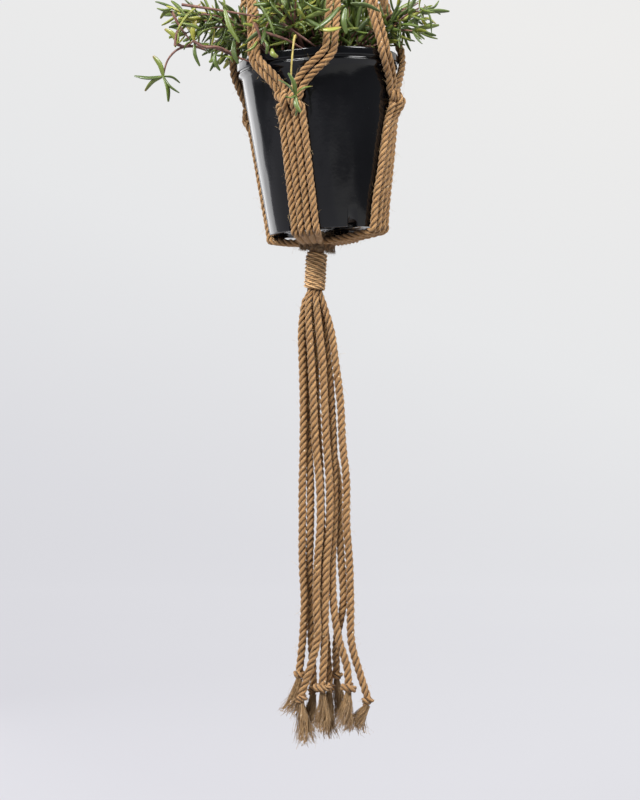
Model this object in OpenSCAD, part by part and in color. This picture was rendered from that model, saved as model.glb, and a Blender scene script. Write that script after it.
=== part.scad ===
// Hanging rope planter: a wooden ring, eight doubled jute cords knotted into a net,
// a nursery pot with a leafy plant in the net, and a tassel of eight cords below.
// Millimetres, +Z up. The origin is where the ring sits on its hook.

/* [Hanging ring] */
// Outside diameter of the ring
ring_d = 80; // [72:1:100]
// Thickness of the ring's round bar
ring_bar_d = 10; // [7:0.5:12]

/* [Rope] */
// Diameter of the laid rope
rope_d = 7; // [5:0.1:8]
// Free space between ropes that lie side by side
rope_space = 0.4; // [0.2:0.05:1]
// Diameter of a rope where a wrapping squeezes it
packed_rope_d = 5.3; // [4.4:0.1:5.6]
// Free space between ropes inside a wrapping
packed_space = 0.2; // [0.1:0.05:0.5]
// Diameter of the thin cord that the wrappings are wound from
wrap_cord_d = 4; // [3:0.1:5]
// Free gap between a rope and the pot or the ring
rope_gap = 0.4; // [0.3:0.05:1]

/* [Top wrapping] */
// Drop from the hang point to the top of the top wrapping
top_wrap_drop = 112; // [104:1:150]
// Number of turns in the top wrapping
top_wrap_turns = 12; // [6:1:16]

/* [Net] */
// Drop from the hang point to the plane of the pot's rim
rim_drop = 470; // [420:5:640]
// Height of the upper knots above the rim
upper_knot_rise = 150; // [120:5:200]
// Drop of the lower knots below the rim
lower_knot_drop = 50; // [44:1:60]
// Sideways lean of the pot in its net, in degrees
pot_lean = 3.5; // [0:0.5:5]

/* [Pot] */
// Outside diameter of the rim
rim_d = 162; // [150:1:200]
// How far the rolled rim stands out past the wall
lip_w = 2.5; // [1.5:0.1:4]
// Outside diameter of the base
base_d = 116; // [96:1:150]
// Height from the base to the rim
pot_h = 172; // [140:1:220]
// Thickness of the moulded wall
wall = 1.4; // [1:0.1:3]
// Height of the rolled rim
lip_h = 8; // [5:0.5:10]
// Depth of the soil's surface below the rim
soil_drop = 15; // [10:1:30]
// Number of drain notches round the base
drain_count = 6; // [3:1:10]
// Diameter of a drain notch
drain_d = 10; // [6:0.5:14]

/* [Bottom wrapping] */
// Outside diameter of the lump where the ropes are gathered
gather_d = 29; // [27:0.5:34]
// Height of the gathered lump
gather_h = 11; // [10:0.5:14]
// Outside diameter of the bottom wrapping
bottom_wrap_d = 22; // [21:0.5:26]
// Number of turns in the bottom wrapping
bottom_wrap_turns = 10; // [6:1:14]
// Sideways lean of the bottom wrapping, in degrees
bottom_wrap_lean = 3.2; // [0:0.2:5]

/* [Tassel] */
// Diameter of the knot at the end of each strand
end_knot_d = 11; // [10:0.2:11.2]
// Diameter across a frayed end at its tip
fray_d = 9.6; // [6:0.2:10]

/* [Hidden] */

$fn = 48;
rope_r = rope_d / 2;
rope_pitch = rope_d + rope_space;
packed_r = packed_rope_d / 2;
packed_pitch = packed_rope_d + packed_space;
jute = [0.72, 0.52, 0.29];
leaf = [0.33, 0.48, 0.22];

// Ring: its centre hangs below the hang point by the inside radius.
ring_r = (ring_d - ring_bar_d) / 2;
ring_z = -(ring_d / 2 - ring_bar_d);
loop_rope_r = rope_r * 6 / 7;
loop_pitch = 2 * loop_rope_r + packed_space;
loop_gap = rope_gap + 0.6;
inner_loop_r = ring_bar_d / 2 + loop_rope_r + loop_gap;

// Top wrapping round a four by four pack of cords.
pack_places = [-1.5, -0.5, 0.5, 1.5];
pack_r = 1.5 * packed_pitch * sqrt(2) + packed_r;
wrap_pitch = wrap_cord_d * 1.05;
top_wrap_r = pack_r + wrap_cord_d;
top_wrap_h = top_wrap_turns * wrap_pitch;
arm_top_z = -top_wrap_drop - top_wrap_h - rope_gap;
pack_turn = -21;

// Azimuths run from the front (-Y) towards the right (+X), in degrees.
upper_az = [25, 116, 203, 290];
lower_az = [-22, 72, 160, 242];
base_az = [-21, 57, 160, 240];
rim_az = [[-46, 9], [50, 92], [137, 182], [219, 262]];
upper_knot_r = 7;
lower_knot_r = 6;

// Pot: its rim's centre is straight below the hang point, and it leans about Y.
lip_r = rim_d / 2;
top_r = lip_r - lip_w;
base_r = base_d / 2;
bead_r = (lip_r + top_r) / 2;
upper_r = [for (inset = [21, 29, 23, 15]) lip_r - inset];
base_centre = [pot_h * sin(pot_lean), 0, -rim_drop - pot_h * cos(pot_lean)];

// Gather, bottom wrapping and tassel, under the pot on the line of the hook.
gather_sag = 4;
gather_top_z = base_centre.z - gather_sag;
gather_z = gather_top_z - gather_h;
gather_pivot_z = gather_z + 2;
neck_r = bottom_wrap_d / 2 - wrap_cord_d - rope_gap;
neck_play = 1.2;
wrap_start = 4.5;
bottom_wrap_h = bottom_wrap_turns * wrap_pitch;
wrap_run = wrap_start + bottom_wrap_h;
tassel_top = [-wrap_run * sin(bottom_wrap_lean), 0, gather_pivot_z - wrap_run * cos(bottom_wrap_lean)];
tassel_pivot_rise = 3;

// Tassel strands: hand-set routes from the wrapping's mouth to each end knot.
strand_routes = [
  [[-6, 0, -3], [-10, 0, -12], [-13, -1, -40], [-12, -1, -70], [-11, -1, -110], [-11, -1, -150],
   [-12, -1, -190], [-12, -1, -230], [-12, -1, -270], [-10, -1, -310], [-12, -1, -350], [-15, -1, -378]],
  [[-4, 5, -3], [-6, 6, -12], [-8, 5, -40], [-7, 6, -70], [-6, 6, -110], [-6, 5, -150],
   [-4, 2, -190], [-4, 0, -230], [-5, 4, -270], [-5, 6, -310], [-3, 6, -350], [-1, 7, -395]],
  [[-4, -5, -3], [-6, -7, -12], [-5, -7, -40], [-3, -6, -70], [-1, -6, -110], [1, -5, -150],
   [5, -5, -190], [6, -6, -230], [3, -7, -270], [2, -8, -310], [3, -9, -345], [-6, -8, -380], [-13, -6, -402]],
  [[1.5, -6, -4], [2, -8, -12], [5, -7, -40], [8, -6, -70], [10, -5, -110], [12, -4, -150],
   [15, -3, -190], [15, -3, -230], [12, -4, -270], [11, -5, -310], [10, -5, -350], [8, -7, -390]],
  [[0, 0, -4], [0, 0, -12], [0, 2, -40], [1, 3, -70], [2, 4, -110], [4, 4, -150],
   [6, 4, -190], [7, 4, -230], [8, 4, -270], [8, 4, -310], [12, 4, -350], [15, 4, -392]],
  [[6, 3, -3], [8, 4, -12], [11, 2, -40], [14, 2, -70], [17, 3, -110], [19, 3, -150],
   [20, 3, -190], [20, 3, -230], [18, 2, -270], [19, -1, -310], [24, -4, -345], [32, -4, -372], [34, -4, -391]],
  [[1.5, 6, -4], [2, 8, -12], [5, 9, -40], [9, 10, -70], [12, 11, -110], [17, 11, -150],
   [24, 10, -190], [25, 9, -230], [27, 6, -270], [29, 5, -310], [22, 8, -350], [22, 13, -381]],
  [[6, -3, -3], [9, -4, -12], [17, -3, -40], [21, -2, -70], [26, 0, -110], [28, 0, -150],
   [32, 0, -190], [32, 0, -230], [35, 1, -270], [36, 1, -310], [37, 1, -350], [45, 1, -380], [53, 1, -405]]];
fray_tips = [[-27, -2, -424], [-2, 10, -436], [-8, -8, -452], [5, -11, -441], [18, 3, -446], [29, -6, -438],
  [24, 18, -431], [41, 2, -441]];
end_knot_drop = 4;

function unit(v) = v / norm(v);
function mix(a, b, t) = a + (b - a) * t;
function polar(r, az, z) = [r * sin(az), -r * cos(az), z];
function polar_side(r, az, z, side) = polar(r, az, z) + side * [cos(az), sin(az), 0];

// A point given about the pot's own axis, with z from the rim's plane, leaned as the pot leans.
function on_pot(p) = [p.x * cos(pot_lean) - p.z * sin(pot_lean), p.y,
  p.x * sin(pot_lean) + p.z * cos(pot_lean) - rim_drop];
function wall_r(z) = mix(top_r, base_r, -z / pot_h);

// Smooth curve through a list of points, with n steps between neighbours.
function bend(a, b, c, d, t) = 0.5 * (2 * b + (c - a) * t + (2 * a - 5 * b + 4 * c - d) * t * t
  + (3 * b - a - 3 * c + d) * t * t * t);
function curve(p, n) = concat([for (i = [0:len(p) - 2], s = [0:n - 1])
  bend(p[max(i - 1, 0)], p[i], p[i + 1], p[min(i + 2, len(p) - 1)], s / n)], [p[len(p) - 1]]);

// A closed tube along a path, eight-sided, with a radius for each ring. across is a
// direction that the path never runs along.
module tube(path, radii, across = [0, 1, 0], sides = 8) {
  last = len(path) - 1;
  way = [for (i = [0:last]) unit(path[min(i + 1, last)] - path[max(i - 1, 0)])];
  u = [for (w = way) unit(cross(w, across))];
  rim = [for (i = [0:last], k = [0:sides - 1]) let (a = 360 * k / sides)
    path[i] + radii[i] * (cos(a) * u[i] + sin(a) * cross(way[i], u[i]))];
  skin = [for (i = [0:last - 1], k = [0:sides - 1]) let (m = (k + 1) % sides, r = i * sides)
    [r + k, r + sides + k, r + sides + m, r + m]];
  caps = [[for (k = [0:sides - 1]) k], [for (k = [sides - 1:-1:0]) last * sides + k]];
  polyhedron(rim, concat(skin, caps), convexity = 10);
}
function even(path, r) = [for (p = path) r];

// Outline of a wound wrapping: one bulge for each turn, round a solid middle.
module winding(r, turns, hole_r = 0) {
  rotate_extrude() union() {
    translate([hole_r, -turns * wrap_pitch + wrap_pitch / 2])
      square([r - wrap_cord_d / 2 - hole_r, (turns - 1) * wrap_pitch]);
    for (i = [0:turns - 1])
      translate([r - wrap_cord_d / 2, -(i + 0.5) * wrap_pitch]) circle(r = wrap_cord_d / 2, $fn = 24);
  }
}

module hanging_ring() {
  color([0.83, 0.68, 0.46]) translate([0, 0, ring_z]) rotate([90, 0, 0])
    rotate_extrude() translate([ring_r, 0]) circle(d = ring_bar_d);
}

// One cord folded over the ring's lower bar, and down to its two places in the pack.
function loop_turn(column, layer) = pack_places[column] * loop_pitch * 180 / PI
  / (ring_r - inner_loop_r - layer * loop_pitch);
function loop_path(column, layer) = let (
  turn = loop_turn(column, layer), r = inner_loop_r + layer * loop_pitch,
  x = pack_places[column] * packed_pitch, y = (0.5 + layer) * packed_pitch,
  over = [for (a = [0:30:180]) let (d = ring_r - r * sin(a))
    [d * sin(turn), -r * cos(a), ring_z - d * cos(turn)]],
  foot = -top_wrap_drop)
  concat([[x, -y, foot], [x, -y, foot + 5], mix([x, -y, foot], over[0], 0.6)], over,
    [mix([x, y, foot], over[6], 0.6), [x, y, foot + 5], [x, y, foot]]);
module ring_loops() {
  radii = [for (f = [0, 0.1, 0.6, 1, 1, 1, 1, 1, 1, 1, 0.6, 0.1, 0]) mix(packed_r, loop_rope_r, f)];
  color(jute) for (column = [0:3], layer = [0, 1]) tube(loop_path(column, layer), radii, [1, 0, 0]);
}

module top_wrap() {
  color(jute) translate([0, 0, -top_wrap_drop]) winding(top_wrap_r, top_wrap_turns);
}

// Four ropes leave a knot or a pack as the corners of a square stood on one corner:
// towards the middle, outwards, and one to each side.
corners = [[0, -1], [0, 1], [-1, 0], [1, 0]];
corner_run = rope_pitch * 0.72;
upper_knot_z = -rim_drop + upper_knot_rise;
function knot_corner(k, j, z) =
  polar_side(upper_r[k] + corners[j][1] * corner_run, upper_az[k], z, corners[j][0] * corner_run);
module arm_cords(k) {
  half = packed_pitch / sqrt(2);
  away = upper_knot_z + upper_knot_r;
  az = pack_turn + 45 + 90 * k;
  color(jute) for (j = [0:3]) {
    top = polar_side(2 * half + corners[j][1] * half, az, arm_top_z, corners[j][0] * half);
    spread = polar_side(2 * half + 7 + corners[j][1] * corner_run, az, arm_top_z - 20, corners[j][0] * corner_run);
    low = knot_corner(k, j, away);
    path = curve([top, top - [0, 0, 4], spread, mix(spread, low, 0.5), low + 4 * unit(low - spread)], 2);
    tube(path, [for (i = [0:len(path) - 1]) i < 3 ? packed_r : i == 3 ? packed_r * 1.08 : rope_r]);
  }
}

module knot_lump(r, half_w, half_h) {
  hull() for (x = [-1, 1], z = [-1, 1])
    translate([x * (half_w - r), 0, z * (half_h - r)]) sphere(r = r, $fn = 16);
}
module upper_knot(k) {
  color(jute) translate(polar(upper_r[k], upper_az[k], upper_knot_z)) rotate([0, 0, upper_az[k]])
    rotate([0, 0, 45]) knot_lump(upper_knot_r, upper_knot_r + 3, upper_knot_r + 5);
}

// Two ropes from an upper knot, over the rim and across the wall to a lower knot.
// side is -1 for the pair that leaves the lower knot to the left and 1 for the right.
// The wall is taken unrolled: across is in millimetres round it, up is from the rim.
function lip_run(z) = z > -9 ? lip_r + rope_r + rope_gap
  : max(wall_r(z) + rope_r + rope_gap, mix(lip_r, wall_r(-40), min((-9 - z) / 31, 1)) + rope_r + rope_gap);
function around(az) = az * PI / 180 * lip_r;
function beside(p, i, shift) = let (way = unit(p[min(i + 1, len(p) - 1)] - p[max(i - 1, 0)]))
  p[i] + shift * [way.y, -way.x];
function on_wall(p) = on_pot(polar(lip_run(p.y), p.x / PI * 180 / lip_r, p.y));
function net_path(k, side, j) = let (
  from = around(lower_az[k]) + side * rope_pitch, to = around(rim_az[k][side < 0 ? 0 : 1]),
  middle = curve([for (s = [[-lower_knot_drop + 7, 0], [-lower_knot_drop + 14, 0.08], [-25, 0.36], [-13, 0.75],
    [-5, 0.95], [3, 1]]) [mix(from, to, s[1]), s[0]]], 2),
  shift = side * (j == 0 ? 0.5 : -0.5) * (rope_pitch + rope_gap),
  rim_end = on_wall(beside(middle, len(middle) - 1, shift)),
  u = side < 0 ? (k + 3) % 4 : k,
  meet = polar_side(upper_r[u] - side * 0.62 * rope_pitch, upper_az[u], upper_knot_z - upper_knot_r - 3,
    side * (j == 0 ? 0.5 : -0.5) * rope_pitch))
  concat([for (i = [0:len(middle) - 1]) on_wall(beside(middle, i, shift))],
    [for (t = [0.12, 0.35, 0.6, 0.85, 1]) mix(rim_end, meet, t)], [meet + [0, 0, 5]]);
module net_pair(n) {
  k = floor((n - 1) / 2);
  color(jute) for (j = [0, 1]) {
    path = net_path(k, n % 2 == 1 ? -1 : 1, j);
    tube(path, even(path, rope_r), polar(1, lower_az[k], 0));
  }
}

module lower_knot(k) {
  r = wall_r(-lower_knot_drop) + lower_knot_r + 1.2;
  color(jute) translate([0, 0, -rim_drop]) rotate([0, -pot_lean, 0])
    translate(polar(r, lower_az[k], -lower_knot_drop)) rotate([0, 0, lower_az[k]])
      knot_lump(lower_knot_r, 12.5, 10.5);
}

// Four ropes side by side, down the wall, round the edge of the base and in to the gather.
function cradle_path(k, j) = let (
  place = pack_places[j], run_side = place * rope_pitch,
  down = [for (s = [[-lower_knot_drop - 5, 0, 2], [-lower_knot_drop - 15, 0.08, 0.6], [-86, 0.3, 0],
    [-118, 0.6, 0], [-pot_h + 26, 0.9, 0], [-pot_h + 6, 1, 0]])
    let (r = wall_r(s[0]) + rope_r + rope_gap + s[2])
    polar(r, mix(lower_az[k], base_az[k], s[1]) + run_side * 180 / PI / r, s[0])],
  edge = [for (a = [30, 65, 90]) let (r = base_r + (rope_r + 2 * rope_gap) * cos(a))
    polar(r, base_az[k] + run_side * 180 / PI / base_r, -pot_h - (rope_r + 2 * rope_gap) * sin(a))],
  end = polar_side(gather_d / 2 - 1.2, base_az[k], gather_top_z - 5.2, place * packed_pitch),
  last = on_pot(edge[2]))
  concat([for (p = concat(down, edge)) on_pot(p)],
    [mix(last, end, 0.45) - [0, 0, 0.8], mix(last, end, 0.85) - [0, 0, 0.8], end]);
module cradle_cords(k) {
  color(jute) for (j = [0:3]) {
    path = cradle_path(k, j);
    n = len(path) - 1;
    tube(path, [for (i = [0:n]) mix(rope_r, packed_r - 0.15, i < n - 2 ? 0 : [0.45, 0.85, 1][i - n + 2])],
      [cos(base_az[k]), sin(base_az[k]), 0]);
  }
}

// The gathered lump has a round pocket for the neck of the bottom wrapping.
module gather_knot() {
  r = gather_d / 2;
  color(jute * 0.85) translate([0, 0, gather_z]) difference() {
    rotate_extrude() intersection() {
      square([r, gather_h]);
      translate([0, gather_h / 2]) union() {
        square([2 * (r - gather_h / 3), gather_h], center = true);
        translate([r - gather_h / 2, 0]) circle(d = gather_h);
      }
    }
    translate([0, 0, gather_pivot_z - gather_z]) sphere(r = neck_r + rope_gap);
    translate([0, 0, -1])
      cylinder(r1 = neck_r + rope_gap + neck_play, r2 = neck_r + rope_gap, h = gather_pivot_z - gather_z + 1);
  }
}

module leaning_wrap() {
  translate([0, 0, gather_pivot_z]) rotate([0, bottom_wrap_lean, 0]) children();
}
module bottom_wrap() {
  color(jute) leaning_wrap() translate([0, 0, -wrap_start])
    winding(bottom_wrap_d / 2, bottom_wrap_turns, neck_r + rope_gap);
}
// The squeezed ropes inside the wrapping, with a round top that turns in the gather.
module wrap_neck() {
  color(jute * 0.8) leaning_wrap() {
    sphere(r = neck_r);
    translate([0, 0, -wrap_run + neck_r + tassel_pivot_rise + 1])
      cylinder(r = neck_r, h = wrap_run - neck_r - tassel_pivot_rise - 1);
  }
}
// The round top of the tassel, which turns in the wrapping's mouth.
module tassel_neck() {
  color(jute * 0.8) translate(tassel_top + [0, 0, tassel_pivot_rise]) {
    sphere(r = neck_r - 0.2);
    translate([0, 0, -tassel_pivot_rise - 3.8]) cylinder(r = packed_r, h = tassel_pivot_rise + 3.8);
  }
}

module tassel_strand(n) {
  path = curve([for (p = strand_routes[n - 1]) tassel_top + p], 2);
  color(jute) tube(path, [for (i = [0:len(path) - 1]) i == 0 ? packed_r - 0.05 : i == 1 ? packed_r + 0.2
    : i < 4 ? packed_r + 0.4 : rope_r - 0.05]);
}
function strand_end(n) = tassel_top + strand_routes[n][len(strand_routes[n]) - 1];
module end_knots() {
  color(jute) for (n = [0:7]) translate(strand_end(n) - [0, 0, end_knot_drop]) sphere(d = end_knot_d, $fn = 24);
}
module frayed_ends() {
  color(jute * 1.1) for (n = [0:7]) {
    from = strand_end(n) - [0, 0, end_knot_drop + end_knot_d / 2 - 1];
    tip = tassel_top + fray_tips[n];
    tube([from, mix(from, tip, 0.4), tip], [rope_r * 0.8, rope_r, fray_d / 2]);
  }
}

// Nursery pot: a thin tapered wall with a rolled rim, a bead under it and drain notches.
module nursery_pot() {
  color([0.07, 0.07, 0.09]) translate([0, 0, -rim_drop]) rotate([0, -pot_lean, 0])
    difference() {
      rotate_extrude($fn = 96) polygon([
        [0, -pot_h + 3], [base_r - 12, -pot_h + 3], [base_r - 10, -pot_h], [base_r - 1, -pot_h],
        [base_r, -pot_h + 1], [wall_r(-16), -16], [bead_r, -13.5], [bead_r, -11], [top_r, -10.5],
        [top_r, -lip_h], [lip_r - 0.8, -lip_h], [lip_r, -lip_h + 1], [lip_r, -1], [lip_r - 1, 0],
        [top_r - wall + 0.8, 0], [top_r - wall, -1], [base_r - wall, -pot_h + 3 + wall],
        [0, -pot_h + 3 + wall]]);
      for (i = [0:drain_count - 1]) rotate([0, 0, 25 + i * 360 / drain_count])
        translate([0, -base_r + 14, -pot_h + 2]) rotate([90, 0, 0]) cylinder(d = drain_d, h = 20);
    }
}

module potting_soil() {
  low = -pot_h + 3 + wall + 0.2;
  function inside(z) = wall_r(z) - wall - 0.4;
  color([0.16, 0.11, 0.08]) translate([0, 0, -rim_drop]) rotate([0, -pot_lean, 0])
    rotate_extrude($fn = 96) polygon([[0, low], [inside(low) - 0.4, low], [inside(-soil_drop), -soil_drop],
      [0, -soil_drop + 5]]);
}

// The plant: a dome of leaves inside the net, and lobes that push out between the ropes.
module plant_crown() {
  color(leaf) translate([0, 0, -rim_drop]) rotate([0, -pot_lean, 0]) rotate_extrude($fn = 32)
    polygon([[0, -soil_drop + 5.4], [lip_r - 19, -soil_drop + 3], [top_r - 6, 4], [lip_r - 10, 28],
      [lip_r - 19, 58], [lip_r - 31, 88], [lip_r - 49, 112], [0, 124]]);
}
module leaf_lobe(n) {
  // For each lobe: azimuth, then reach past the rim, height over it and size of each bulge.
  lobes = [
    [-20, [-11, 34, 13], [25, 44, 24], [27, 20, 16]],
    [71, [-11, 42, 10], [21, 42, 20], [23, 26, 16]],
    [160, [-11, 42, 12], [27, 44, 26], [31, 20, 18]],
    [241, [-11, 42, 10], [25, 42, 22], [35, 28, 20]],
    [287, [-9, 20, 9], [37, 34, 26], [61, 30, 22]]];
  lobe = lobes[n - 1];
  color(leaf) hull() for (i = [1:3])
    translate(polar(lip_r + lobe[i][0], lobe[0], lobe[i][1] - rim_drop)) sphere(r = lobe[i][2], $fn = 16);
}
// A short stem over the rim with a round of leaves at its end. Each point is an azimuth,
// a reach past the rim and a height over it.
module sprig(points, size) {
  route = [for (p = points) polar(lip_r + p.y, p.x, p.z - rim_drop)];
  stem = curve([for (i = [0:2]) route[i]], 3);
  color([0.45, 0.25, 0.18]) tube(stem, even(stem, 1.5));
  color(leaf) translate(route[3]) sphere(r = size, $fn = 16);
}
module trailing_stem_left() {
  sprig([[287, 75, -2], [287, 82, -8], [287, 86, -16], [287, 85, -22]], 20);
}
module trailing_stem_front() {
  sprig([[-13, 34, 2], [-13.5, 35, -12], [-13, 30, -26], [-13, 24, -34]], 12);
}

hanging_ring();
ring_loops();
top_wrap();
for (k = [0:3]) {
  arm_cords(k);
  upper_knot(k);
  lower_knot(k);
  cradle_cords(k);
}
for (k = [1:8]) {
  net_pair(k);
  tassel_strand(k);
}
gather_knot();
bottom_wrap();
wrap_neck();
tassel_neck();
end_knots();
frayed_ends();
nursery_pot();
potting_soil();
plant_crown();
for (k = [1:5]) leaf_lobe(k);
trailing_stem_left();
trailing_stem_front();
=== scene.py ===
"""Hanging rope planter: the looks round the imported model. Sizes below are in millimetres
and are brought to metres when a mesh is made."""

import math
import random

import bmesh
import bpy
from mathutils import Matrix, Vector, noise
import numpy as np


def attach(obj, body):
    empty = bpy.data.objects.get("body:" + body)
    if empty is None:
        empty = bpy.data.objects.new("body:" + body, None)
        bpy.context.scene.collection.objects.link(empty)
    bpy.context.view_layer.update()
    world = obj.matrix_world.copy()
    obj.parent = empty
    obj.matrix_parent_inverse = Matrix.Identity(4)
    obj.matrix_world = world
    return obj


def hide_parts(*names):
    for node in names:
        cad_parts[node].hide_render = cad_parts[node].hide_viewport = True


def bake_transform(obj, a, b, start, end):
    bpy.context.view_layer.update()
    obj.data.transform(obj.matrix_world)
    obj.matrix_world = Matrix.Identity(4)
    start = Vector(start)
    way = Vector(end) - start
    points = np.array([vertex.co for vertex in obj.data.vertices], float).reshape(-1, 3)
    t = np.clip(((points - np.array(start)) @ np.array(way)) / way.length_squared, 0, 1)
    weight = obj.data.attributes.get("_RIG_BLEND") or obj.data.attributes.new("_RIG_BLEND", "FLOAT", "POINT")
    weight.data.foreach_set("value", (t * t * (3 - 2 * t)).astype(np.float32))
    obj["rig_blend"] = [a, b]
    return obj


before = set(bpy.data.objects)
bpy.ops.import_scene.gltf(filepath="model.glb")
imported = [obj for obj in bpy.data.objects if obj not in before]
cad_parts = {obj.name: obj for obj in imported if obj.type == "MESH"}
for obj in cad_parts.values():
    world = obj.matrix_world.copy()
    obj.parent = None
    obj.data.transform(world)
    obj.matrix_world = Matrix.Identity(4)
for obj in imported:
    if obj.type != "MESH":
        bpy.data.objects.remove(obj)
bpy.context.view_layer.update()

MM = 0.001
ROPE = 7.0
TWINE = 4.0
GAP = 0.4
# Middle to middle of the ropes where a wrapping packs them
PACKED = 5.5
# Slack ropes in the tassel swell past ROPE. Metres, as the lays are
SLACK_ROPE = 0.0079
LOOP_LAY, NET_LAY, TASSEL_LAY = 0.0195, 0.0205, 0.0215
DRAINS, DRAIN_R = 6, 5.0
PITCH = ROPE + GAP
SQUEEZE = 5.3 / ROPE
RIM_DROP, LIP_R, POT_H, BASE_R, LEAN = 470.0, 81.0, 172.0, 58.0, math.radians(3.5)
WALL_R = LIP_R - 2.5
HUNG_POT = Matrix.Translation((0, 0, -RIM_DROP * MM)) @ Matrix.Rotation(-LEAN, 4, "Y")
LOWER_DROP, UPPER_RISE = 50.0, 150.0
LOWER_AZ, BASE_AZ = [-22, 72, 160, 242], [-21, 57, 160, 240]
RIM_AZ = [(-46, 9), (50, 92), (137, 182), (219, 262)]
UPPER_AZ, UPPER_R = [25, 116, 203, 290], [60, 52, 58, 66]
GATHER_TOP = -RIM_DROP - POT_H * math.cos(LEAN) - 4.0
GATHER_BOTTOM = GATHER_TOP - 11.0
WRAP_TOP = Vector((0, 0, GATHER_BOTTOM + 2.0))
WRAP_LEAN = Matrix.Rotation(math.radians(3.2), 3, "Y")
TASSEL_TOP = WRAP_TOP + WRAP_LEAN @ Vector((0, 0, -46.5))
RING_Z, RING_R = -30.0, 35.0

STRANDS = [
    [(-6, 0, -3), (-10, 0, -12), (-13, -1, -40), (-12, -1, -70), (-11, -1, -110), (-11, -1, -150),
     (-12, -1, -190), (-12, -1, -230), (-12, -1, -270), (-10, -1, -310), (-12, -1, -350), (-15, -1, -378)],
    [(-4, 5, -3), (-6, 6, -12), (-8, 5, -40), (-7, 6, -70), (-6, 6, -110), (-6, 5, -150),
     (-4, 2, -190), (-4, 0, -230), (-5, 4, -270), (-5, 6, -310), (-3, 6, -350), (-1, 7, -395)],
    [(-4, -5, -3), (-6, -7, -12), (-5, -7, -40), (-3, -6, -70), (-1, -6, -110), (1, -5, -150), (5, -5, -190),
     (6, -6, -230), (3, -7, -270), (2, -8, -310), (3, -9, -345), (-6, -8, -380), (-13, -6, -402)],
    [(1.5, -6, -4), (2, -8, -12), (5, -7, -40), (8, -6, -70), (10, -5, -110), (12, -4, -150),
     (15, -3, -190), (15, -3, -230), (12, -4, -270), (11, -5, -310), (10, -5, -350), (8, -7, -390)],
    [(0, 0, -4), (0, 0, -12), (0, 2, -40), (1, 3, -70), (2, 4, -110), (4, 4, -150),
     (6, 4, -190), (7, 4, -230), (8, 4, -270), (8, 4, -310), (12, 4, -350), (15, 4, -392)],
    [(6, 3, -3), (8, 4, -12), (11, 2, -40), (14, 2, -70), (17, 3, -110), (19, 3, -150), (20, 3, -190),
     (20, 3, -230), (18, 2, -270), (19, -1, -310), (24, -4, -345), (32, -4, -372), (34, -4, -391)],
    [(1.5, 6, -4), (2, 8, -12), (5, 9, -40), (9, 10, -70), (12, 11, -110), (17, 11, -150),
     (24, 10, -190), (25, 9, -230), (27, 6, -270), (29, 5, -310), (22, 8, -350), (22, 13, -381)],
    [(6, -3, -3), (9, -4, -12), (17, -3, -40), (21, -2, -70), (26, 0, -110), (28, 0, -150), (32, 0, -190),
     (32, 0, -230), (35, 1, -270), (36, 1, -310), (37, 1, -350), (45, 1, -380), (53, 1, -405)],
]
FRAY_TIPS = [(-27, -2, -424), (-2, 10, -436), (-8, -8, -452), (5, -11, -441), (18, 3, -446), (29, -6, -438),
             (24, 18, -431), (41, 2, -441)]


# ---------------------------------------------------------------- paths

def up(z):
    return Vector((0, 0, z))


def polar(r, az, z, aside=0.0):
    """A point r out at an azimuth from the front, and so far aside along the round."""
    s, c = math.sin(math.radians(az)), math.cos(math.radians(az))
    return Vector((r * s + aside * c, -r * c + aside * s, z))


def on_pot(p):
    """From the pot's own axes to where the leaning pot hangs."""
    s, c = math.sin(LEAN), math.cos(LEAN)
    return Vector((p.x * c - p.z * s, p.y, p.x * s + p.z * c - RIM_DROP))


def wall_r(z):
    return WALL_R + (BASE_R - WALL_R) * -z / POT_H


def smooth(points, steps=6):
    """A smooth line through the points."""
    points = [Vector(p) for p in points]
    out = []
    for i in range(len(points) - 1):
        a, b = points[max(i - 1, 0)], points[i]
        c, d = points[i + 1], points[min(i + 2, len(points) - 1)]
        for k in range(steps):
            t = k / steps
            out.append(0.5 * (2 * b + (c - a) * t + (2 * a - 5 * b + 4 * c - d) * t * t
                              + (3 * b - a - 3 * c + d) * t ** 3))
    return out + [points[-1]]


def spread_over(values, count):
    """Numbers run evenly from one given value to the next, count in all."""
    out = []
    for i in range(count):
        f = i / (count - 1) * (len(values) - 1)
        k = min(int(f), len(values) - 2)
        out.append(values[k] + (values[k + 1] - values[k]) * (f - k))
    return out


# ---------------------------------------------------------------- node trees

def add(t, kind, given=None, **props):
    """A node of that kind, with its properties set and its inputs joined or filled."""
    n = t.nodes.new(kind)
    for key, value in props.items():
        setattr(n, key, value)
    for socket, value in (given or {}).items():
        if isinstance(value, bpy.types.NodeSocket):
            t.links.new(value, n.inputs[socket])
        else:
            n.inputs[socket].default_value = value
    return n


def calc(t, operation, a, b=0.0):
    return add(t, "ShaderNodeMath", {0: a, 1: b}, operation=operation).outputs[0]


def times(t, a, b):
    return calc(t, "MULTIPLY", a, b)


def plus(t, a, b):
    return calc(t, "ADD", a, b)


def vector(t, operation, a, b=None):
    given = {0: a}
    if b is not None:
        given[3 if operation == "SCALE" else 1] = b
    return add(t, "ShaderNodeVectorMath", given, operation=operation).outputs[0]


def scaled(t, a, by):
    return vector(t, "SCALE", a, by)


def combine(t, x=0.0, y=0.0, z=0.0):
    return add(t, "ShaderNodeCombineXYZ", {0: x, 1: y, 2: z}).outputs[0]


def store(t, geometry, name, kind, value, domain="POINT"):
    return geo(t, "StoreNamedAttribute", {0: geometry, "Name": name, "Value": value},
               data_type=kind, domain=domain)


def recall(t, name, kind="FLOAT"):
    return geo(t, "InputNamedAttribute", {"Name": name}, data_type=kind)


def geo(t, kind, given=None, **props):
    """The first output of a geometry node of that kind."""
    return add(t, "GeometryNode" + kind, given, **props).outputs[0]


def circle(t, sides, radius):
    return geo(t, "CurvePrimitiveCircle", {"Resolution": sides, "Radius": radius})


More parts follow.
